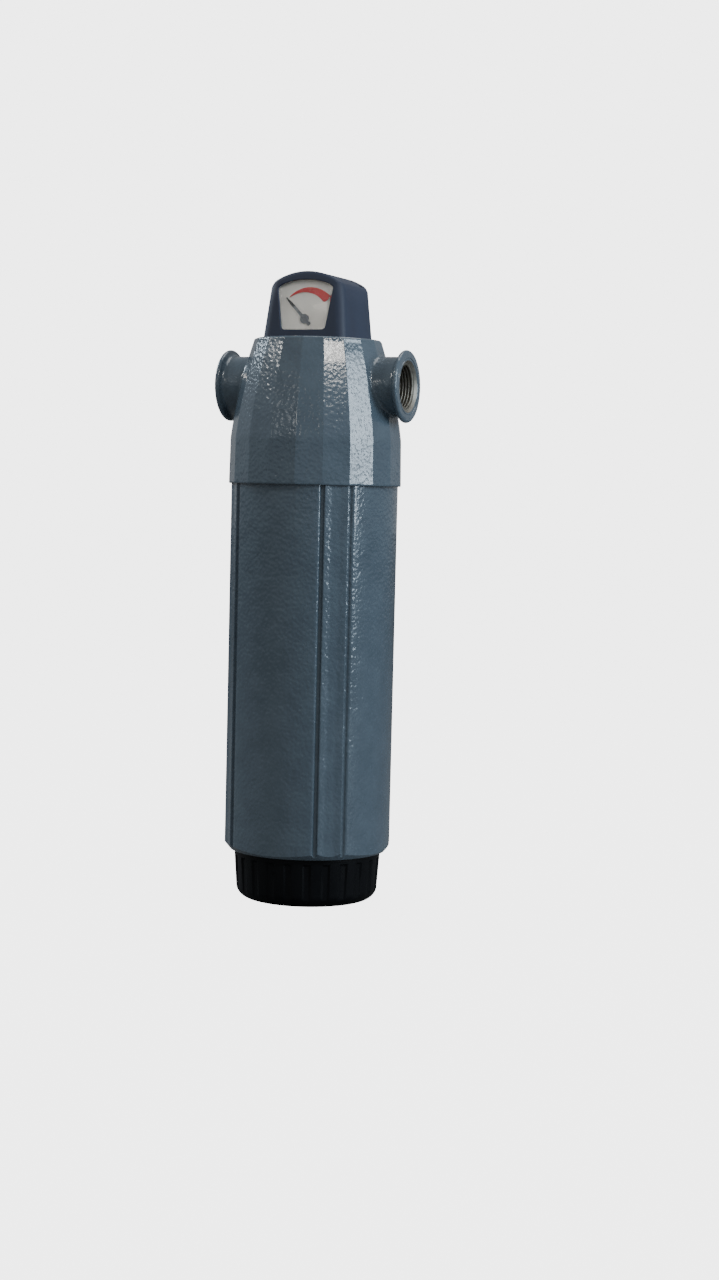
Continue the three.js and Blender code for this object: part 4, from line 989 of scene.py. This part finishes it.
def domed_block(name, inset, edge, floor):
    """A rounded block that narrows upwards to an arched top, with a rounded top edge."""
    front_inset = inset * CAP_FRONT_WALL / CAP_WALL
    half_x = CAP_HALF_X - inset
    half_y = CAP_HALF_Y - (inset + front_inset) / 2
    middle_y = CAP_MIDDLE_Y + (front_inset - inset) / 2
    front = half_outline(half_x, half_y, CAP_CORNER - inset)
    outline = front + [(x, -y, nx, -ny) for x, y, nx, ny in front[::-1]]
    arch = CAP_ARCH - inset

    def place(point, pull, z):
        x, y, nx, ny = point
        rise = z - CAP_FLOOR_Z
        lean = FRONT_LEAN if y < 0 else BACK_LEAN
        along = x * (1 - SIDE_LEAN * rise / half_x) - nx * pull
        across = y * (1 - lean * rise / half_y) - ny * pull
        return Vector((along, middle_y + across, z))

    rings = []
    for share in (0, 0.34, 0.67, 1):
        ring = []
        for point in outline:
            top = arch_z(point[0] * ARCH_SHARE, arch) - edge
            ring.append(place(point, 0, floor + (top - floor) * share))
        rings.append(ring)
    steps = 8
    for i in range(1, steps + 1):
        a = math.pi / 2 * i / steps
        ring = []
        for point in outline:
            spot = place(point, edge * (1 - math.cos(a)), arch_z(point[0] * ARCH_SHARE, arch) - edge)
            final = arch_z(spot.x, arch) - edge + edge * math.sin(a)
            start = rings[3][len(ring)].z
            spot.z = start + (final - start) * math.sin(a)
            ring.append(spot)
        rings.append(ring)
    b = bmesh.new()
    rows = [[b.verts.new(p) for p in ring] for ring in rings]
    walls(b, rows)
    half = len(front)
    for i in range(half - 1):
        across = (rows[-1][i], rows[-1][i + 1], rows[-1][2 * half - 2 - i], rows[-1][2 * half - 1 - i])
        b.faces.new(across)
    b.faces.new(rows[0][::-1])
    return new_piece(name, b)


def window_outline(margin):
    """The window's outline grown by a margin: a trapezoid, wider upwards, with an arched top."""
    corner = WINDOW_CORNER
    bottom = WINDOW_HALF_FOOT + margin
    top = WINDOW_HALF_TOP + margin
    low = WINDOW_FOOT - margin
    radius = WINDOW_ARCH + margin
    centre = WINDOW_SHOULDER - math.sqrt(WINDOW_ARCH ** 2 - WINDOW_HALF_TOP ** 2)
    high = centre + math.sqrt(radius ** 2 - top ** 2)
    lean = math.degrees(math.atan2(high - low, top - bottom))
    points = arc((bottom - corner + 0.2 * MM, low + corner), corner, -90, lean - 90, 6)
    tip = WINDOW_TIP
    points += arc((top - tip - 0.2 * MM, high - tip * 0.9), tip, lean - 90, 66, 6)
    span = math.degrees(math.acos((top - tip) / radius))
    points += arc((0, centre), radius, span + 1, 90, 10)
    left = [(-x, z) for x, z in points[:-1][::-1]]
    return points + left


def leaning(name, levels):
    """A solid of the window's outline along the cap's leaning front: (depth behind it, growth) in mm."""
    rings = []
    for depth, grow in levels:
        outline = window_outline(grow * MM)
        rings.append([Vector((x, front_y(z) + depth * MM, z)) for x, z in outline])
    return skin(name, rings)


def front_y(z):
    """Where the cap's leaning front is, at a height."""
    return CAP_LOW.y + FRONT_LEAN * (z - CAP_FLOOR_Z)


def screw_pillar(side):
    """The post inside the cap that a screw passes through."""
    profile = [(PILLAR_RADIUS, CAP_FLOOR_Z), (PILLAR_RADIUS, SCREW_SEAT + PILLAR_RISE)]
    return moved(turned("pillar", profile, 48, closed=False), side * SCREW_X, SCREW_Y)


def screw_well(side):
    """The stepped hole for a screw and its head, flared where it meets the arched top."""
    mouth = arch_z(SCREW_X, CAP_ARCH) - 0.5 * MM
    profile = [
        (SCREW_HOLE, CAP_FLOOR_Z - 1 * MM),
        (SCREW_HOLE, SCREW_SEAT),
        (SCREW_WELL, SCREW_SEAT),
        (SCREW_WELL, mouth),
        (SCREW_WELL + WELL_FLARE, mouth + WELL_FLARE),
    ]
    return moved(turned("well", profile, 48, closed=False), side * SCREW_X, SCREW_Y)


def gauge_cap():
    """The hollow cap, with its window's opening and the wells of its two screws."""
    cap = domed_block("gauge_cover", 0, CAP_EDGE, CAP_FLOOR_Z)
    cut(cap, domed_block("inside", CAP_WALL, 1 * MM, CAP_FLOOR_Z - 1 * MM))
    cut(cap, leaning("opening", [(-2, 1.2), (-0.35, 0.5), (0.1, 0.2), (0.7, 0.0), (3, 0.0)]))
    for side in (-1, 1):
        join(cap, screw_pillar(side))
        cut(cap, screw_well(side), cap_recess(side))
    return finished(shade(cap, 30), "head", "gauge_plastic", LOOKS["gauge_plastic"], "gauge_cap")


def cap_recess(side):
    """A shallow slot with round ends in the arched top, beside a screw."""
    reach = 2.4 * MM
    radius = 1.7 * MM
    loop = arc((reach, 0), radius, -90, 90, 8) + arc((-reach, 0), radius, 90, 270, 8)
    rings = []
    for lift in (-1.3 * MM, 3 * MM):
        ring = []
        for x, y in loop:
            across = side * RECESS_X + x
            ring.append(Vector((across, SCREW_Y + y, arch_z(across, CAP_ARCH) + lift)))
        rings.append(ring)
    return skin("recess", rings)


def gauge_window():
    """The clear pane, nearly flush with the cap, with a rounded front edge and a flange behind."""
    front_edge = [(0.3, -1.3), (0.4, -0.8), (0.7, -0.4), (1.1, -0.3)]
    flange = [(1.9, -0.3), (1.95, 0.9), (2.3, 0.9)]
    pane = leaning("gauge_pane", front_edge + flange)
    return finished(shade(pane, 40), "head", "gauge_glass", LOOKS["gauge_glass"], "gauge_window")


def on_dial(piece):
    """Sets a piece made round the pointer's axis, with the dial's face at y = 0, on the leaning dial."""
    lean = Matrix.Rotation(-math.atan(FRONT_LEAN), 4, "X")
    piece.data.transform(Matrix.Translation(POINTER_PIVOT) @ lean)
    return piece


def dial():
    """The dial's plate, with a boss round the pointer's spindle."""
    face = 3.8
    plate = leaning("dial_face", [(face, 0.75), (face + 0.12, 0.9), (face + 1.2, 0.9)])
    profile = [(3.6 * MM, -0.2 * MM), (3.6 * MM, 0.15 * MM), (3.3 * MM, 0.25 * MM)]
    boss = turned("boss", profile, 64, closed=False)
    join(plate, on_dial(face_front(boss)))
    return finished(shade(plate, 30), "head", "dial_white", LOOKS["dial_white"], "dial_plate")


def red_zone():
    """The comma-shaped warning zone: thin where it starts and widest at its rounded end."""
    steps = 40
    start, end = -39.5, 46.0
    outer, inner = [], []
    for i in range(steps + 1):
        t = i / steps
        a = math.radians(90 - start - (end - start) * t)
        near = (19.7 - 1.9 * t) * MM
        far = (20.0 + 4.3 * t ** 0.8) * MM
        outer.append((far * math.cos(a), far * math.sin(a)))
        inner.append((near * math.cos(a), near * math.sin(a)))
    last = Vector(outer[-1])
    first = Vector(inner[-1])
    middle = (last + first) / 2
    along = (last - first) / 2
    aside = Vector((along.y, -along.x)) * 0.55
    angles = [math.pi * i / 10 for i in range(1, 10)]
    end_cap = [tuple(middle + along * math.cos(a) + aside * math.sin(a)) for a in angles]
    loop = outer + end_cap + inner[::-1]
    zone = on_dial(prism("warning_zone", loop, -0.45 * MM, -0.3 * MM))
    return finished(shade(zone), "head", "dial_red", LOOKS["dial_red"], "dial_red_zone")


def pointer():
    """The pointer in three pieces: a black tip, a smoky shaft with its tail, and a round hub."""
    length = 21.4
    joint = 12.2
    rest_angle = -44.5
    rest = Matrix.Rotation(math.radians(rest_angle), 4, "Y")
    smoky = printed("pointer_grey", (0.07, 0.08, 0.095), (0.10, 0.11, 0.125))

    def flat(name, outline, front, back, look, *nodes):
        piece = prism(name, [(x * MM, z * MM) for x, z in outline], front * MM, back * MM)
        soften(piece, 0.08 * MM, 2)
        piece.data.transform(rest)
        return finished(shade(on_dial(piece), 40), "pointer", "pointer_black", look, *nodes)

    shaft = [(-1.3, -6), (1.3, -6), (1.0, joint), (-1.0, joint)]
    tip = [(-1.15, joint), (1.15, joint), (0.6, length - 0.5), (0.0, length), (-0.6, length - 0.5)]
    flat("pointer_shaft", shaft, -1.1, -0.8, smoky, "pointer")
    flat("pointer_tip", tip, -1.15, -0.8, LOOKS["pointer_black"])
    hub = turned("pointer_hub", [
        (3.4 * MM, 0.8 * MM),
        (3.4 * MM, 1.1 * MM),
        (2.9 * MM, 1.25 * MM),
        (0.9 * MM, 1.35 * MM),
        (0.8 * MM, 1.25 * MM),
    ], 64, closed=False)
    finished(shade(on_dial(face_front(hub)), 30), "pointer", "pointer_black", smoky)


def cap_screw(name, side, node):
    """A small socket screw sunk in the cap's top."""
    low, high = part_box(node)
    top = high.z
    seat = top - 2.6 * MM
    shank = 1.45 * MM
    head = 2.7 * MM
    profile = [
        (0.5 * MM, low.z),
        (shank, low.z + 1 * MM),
        (shank, seat),
        (head, seat),
        (head, top - 0.5 * MM),
        (head - 0.15 * MM, top - 0.15 * MM),
        (head - 0.5 * MM, top),
    ]
    screw = turned(name, profile, 48, closed=False)
    socket = turned("socket", [(shank, top - 1.5 * MM), (shank, top + 1 * MM)], 6, closed=False)
    cut(screw, socket)
    moved(screw, side * SCREW_X, SCREW_Y)
    return finished(shade(screw), "head", "fastener_steel", LOOKS["fastener_steel"], node)


# ---- Drain and spring ---------------------------------------------------------------------------

def drain_knob():
    """The drain's hand knob, with grip notches and a barbed hose tail."""
    low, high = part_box("drain_knob")
    outer = high.x
    notches = 16
    per_notch = 12
    sides = notches * per_notch
    shoulder = low.z + 5 * MM

    def ring(radius, z, depth=0.0):
        points = []
        for i in range(sides):
            wave = max(math.cos(2 * math.pi * i / per_notch), 0) ** 2
            a = 2 * math.pi * i / sides
            r = radius - depth * wave
            points.append(Vector((r * math.cos(a), r * math.sin(a), z)))
        return points

    grip = 0.9 * MM
    bore = 1.6
    barb = 4.2
    tail = [
        (bore, 0), (3.1, 0), (3.3, 0.2),
        (barb, 1.9), (barb, 2.1), (3.4, 2.3),
        (barb, 4.1), (barb, 4.3), (3.8, 4.5),
    ]
    rings = [ring(r * MM, low.z + z * MM) for r, z in tail]
    rings.append(ring(outer - 1.2 * MM, shoulder - 0.2 * MM, grip * 0.5))
    rings.append(ring(outer - 0.3 * MM, shoulder + 0.2 * MM, grip))
    rings.append(ring(outer, shoulder + 0.9 * MM, grip))
    rings.append(ring(outer, high.z - 0.8 * MM, grip))
    rings.append(ring(outer - 0.4 * MM, high.z - 0.2 * MM, grip * 0.8))
    rings.append(ring(outer - 1.4 * MM, high.z, 0))
    recess = 4.8 * MM
    recess_floor = shoulder + 0.7 * MM
    rings += [ring(recess, high.z), ring(recess, recess_floor), ring(bore * MM, recess_floor)]
    knob = skin("drain_handle", rings, closed=True)
    return finished(shade(knob, 30), "knob", "base_plastic", LOOKS["base_plastic"], "drain_knob")


def spring():
    """The spring over the sensing piston, which the piston presses together as it rises; here it keeps one length.
    """
    low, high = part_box("piston_spring")
    wire = 0.5 * MM
    turns, steps, sides = 5, 30, 10
    radius = (high.x - low.x) / 2 - wire
    axis = Vector(((low.x + high.x) / 2, (low.y + high.y) / 2, 0))
    climb = high.z - low.z - 2 * wire
    rings = []
    for i in range(turns * steps + 1):
        a = 2 * math.pi * i / steps
        outward = Vector((math.cos(a), math.sin(a), 0))
        centre = axis + outward * radius + Vector((0, 0, low.z + wire + climb * i / (turns * steps)))
        rings.append([
            centre + outward * (wire * math.cos(b)) + Vector((0, 0, wire * math.sin(b)))
            for b in (2 * math.pi * k / sides for k in range(sides))
        ])
    piece = skin("return_spring", rings)
    finished(shade(piece, 50), "head", "fastener_steel", LOOKS["fastener_steel"], "piston_spring")
    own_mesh(piece)
    return piece


# ---- Floor --------------------------------------------------------------------------------------

def floor():
    """A pale floor, lifted towards white where the camera sees it directly."""
    plane = bmesh.new()
    bmesh.ops.create_grid(plane, x_segments=1, y_segments=1, size=12)
    piece = new_piece("floor", plane)
    look = Look("floor", IOR=1.45)
    dust = look.noise(40 * MM, 4)
    look.set("Base Color", look.blend(dust, (0.12, 0.12, 0.12), (0.13, 0.13, 0.13)))
    look.set("Roughness", look.spread(dust, 0.3, 0.7, 0.6, 0.7))
    look.shader.inputs["Emission Color"].default_value = (1, 1, 1, 1)
    seen = look.node("ShaderNodeLightPath").outputs["Is Camera Ray"]
    glow = look.node("ShaderNodeMath", {0: seen, 1: FLOOR_SEEN}, operation="MULTIPLY")
    look.set("Emission Strength", glow.outputs[0])
    piece.data.materials.append(look.material)


make_camera()
make_lights()
make_world()
floor()
finish_cad_nodes()
head_casting()
port_thread("inlet_thread", -1)
port_thread("outlet_thread", 1)
bowl_tube()
base_cap()
gauge_cap()
gauge_window()
dial()
red_zone()
pointer()
cap_screw("fixing_screw_left", -1, "cap_screw_left")
cap_screw("fixing_screw_right", 1, "cap_screw_right")
drain_knob()
spring()
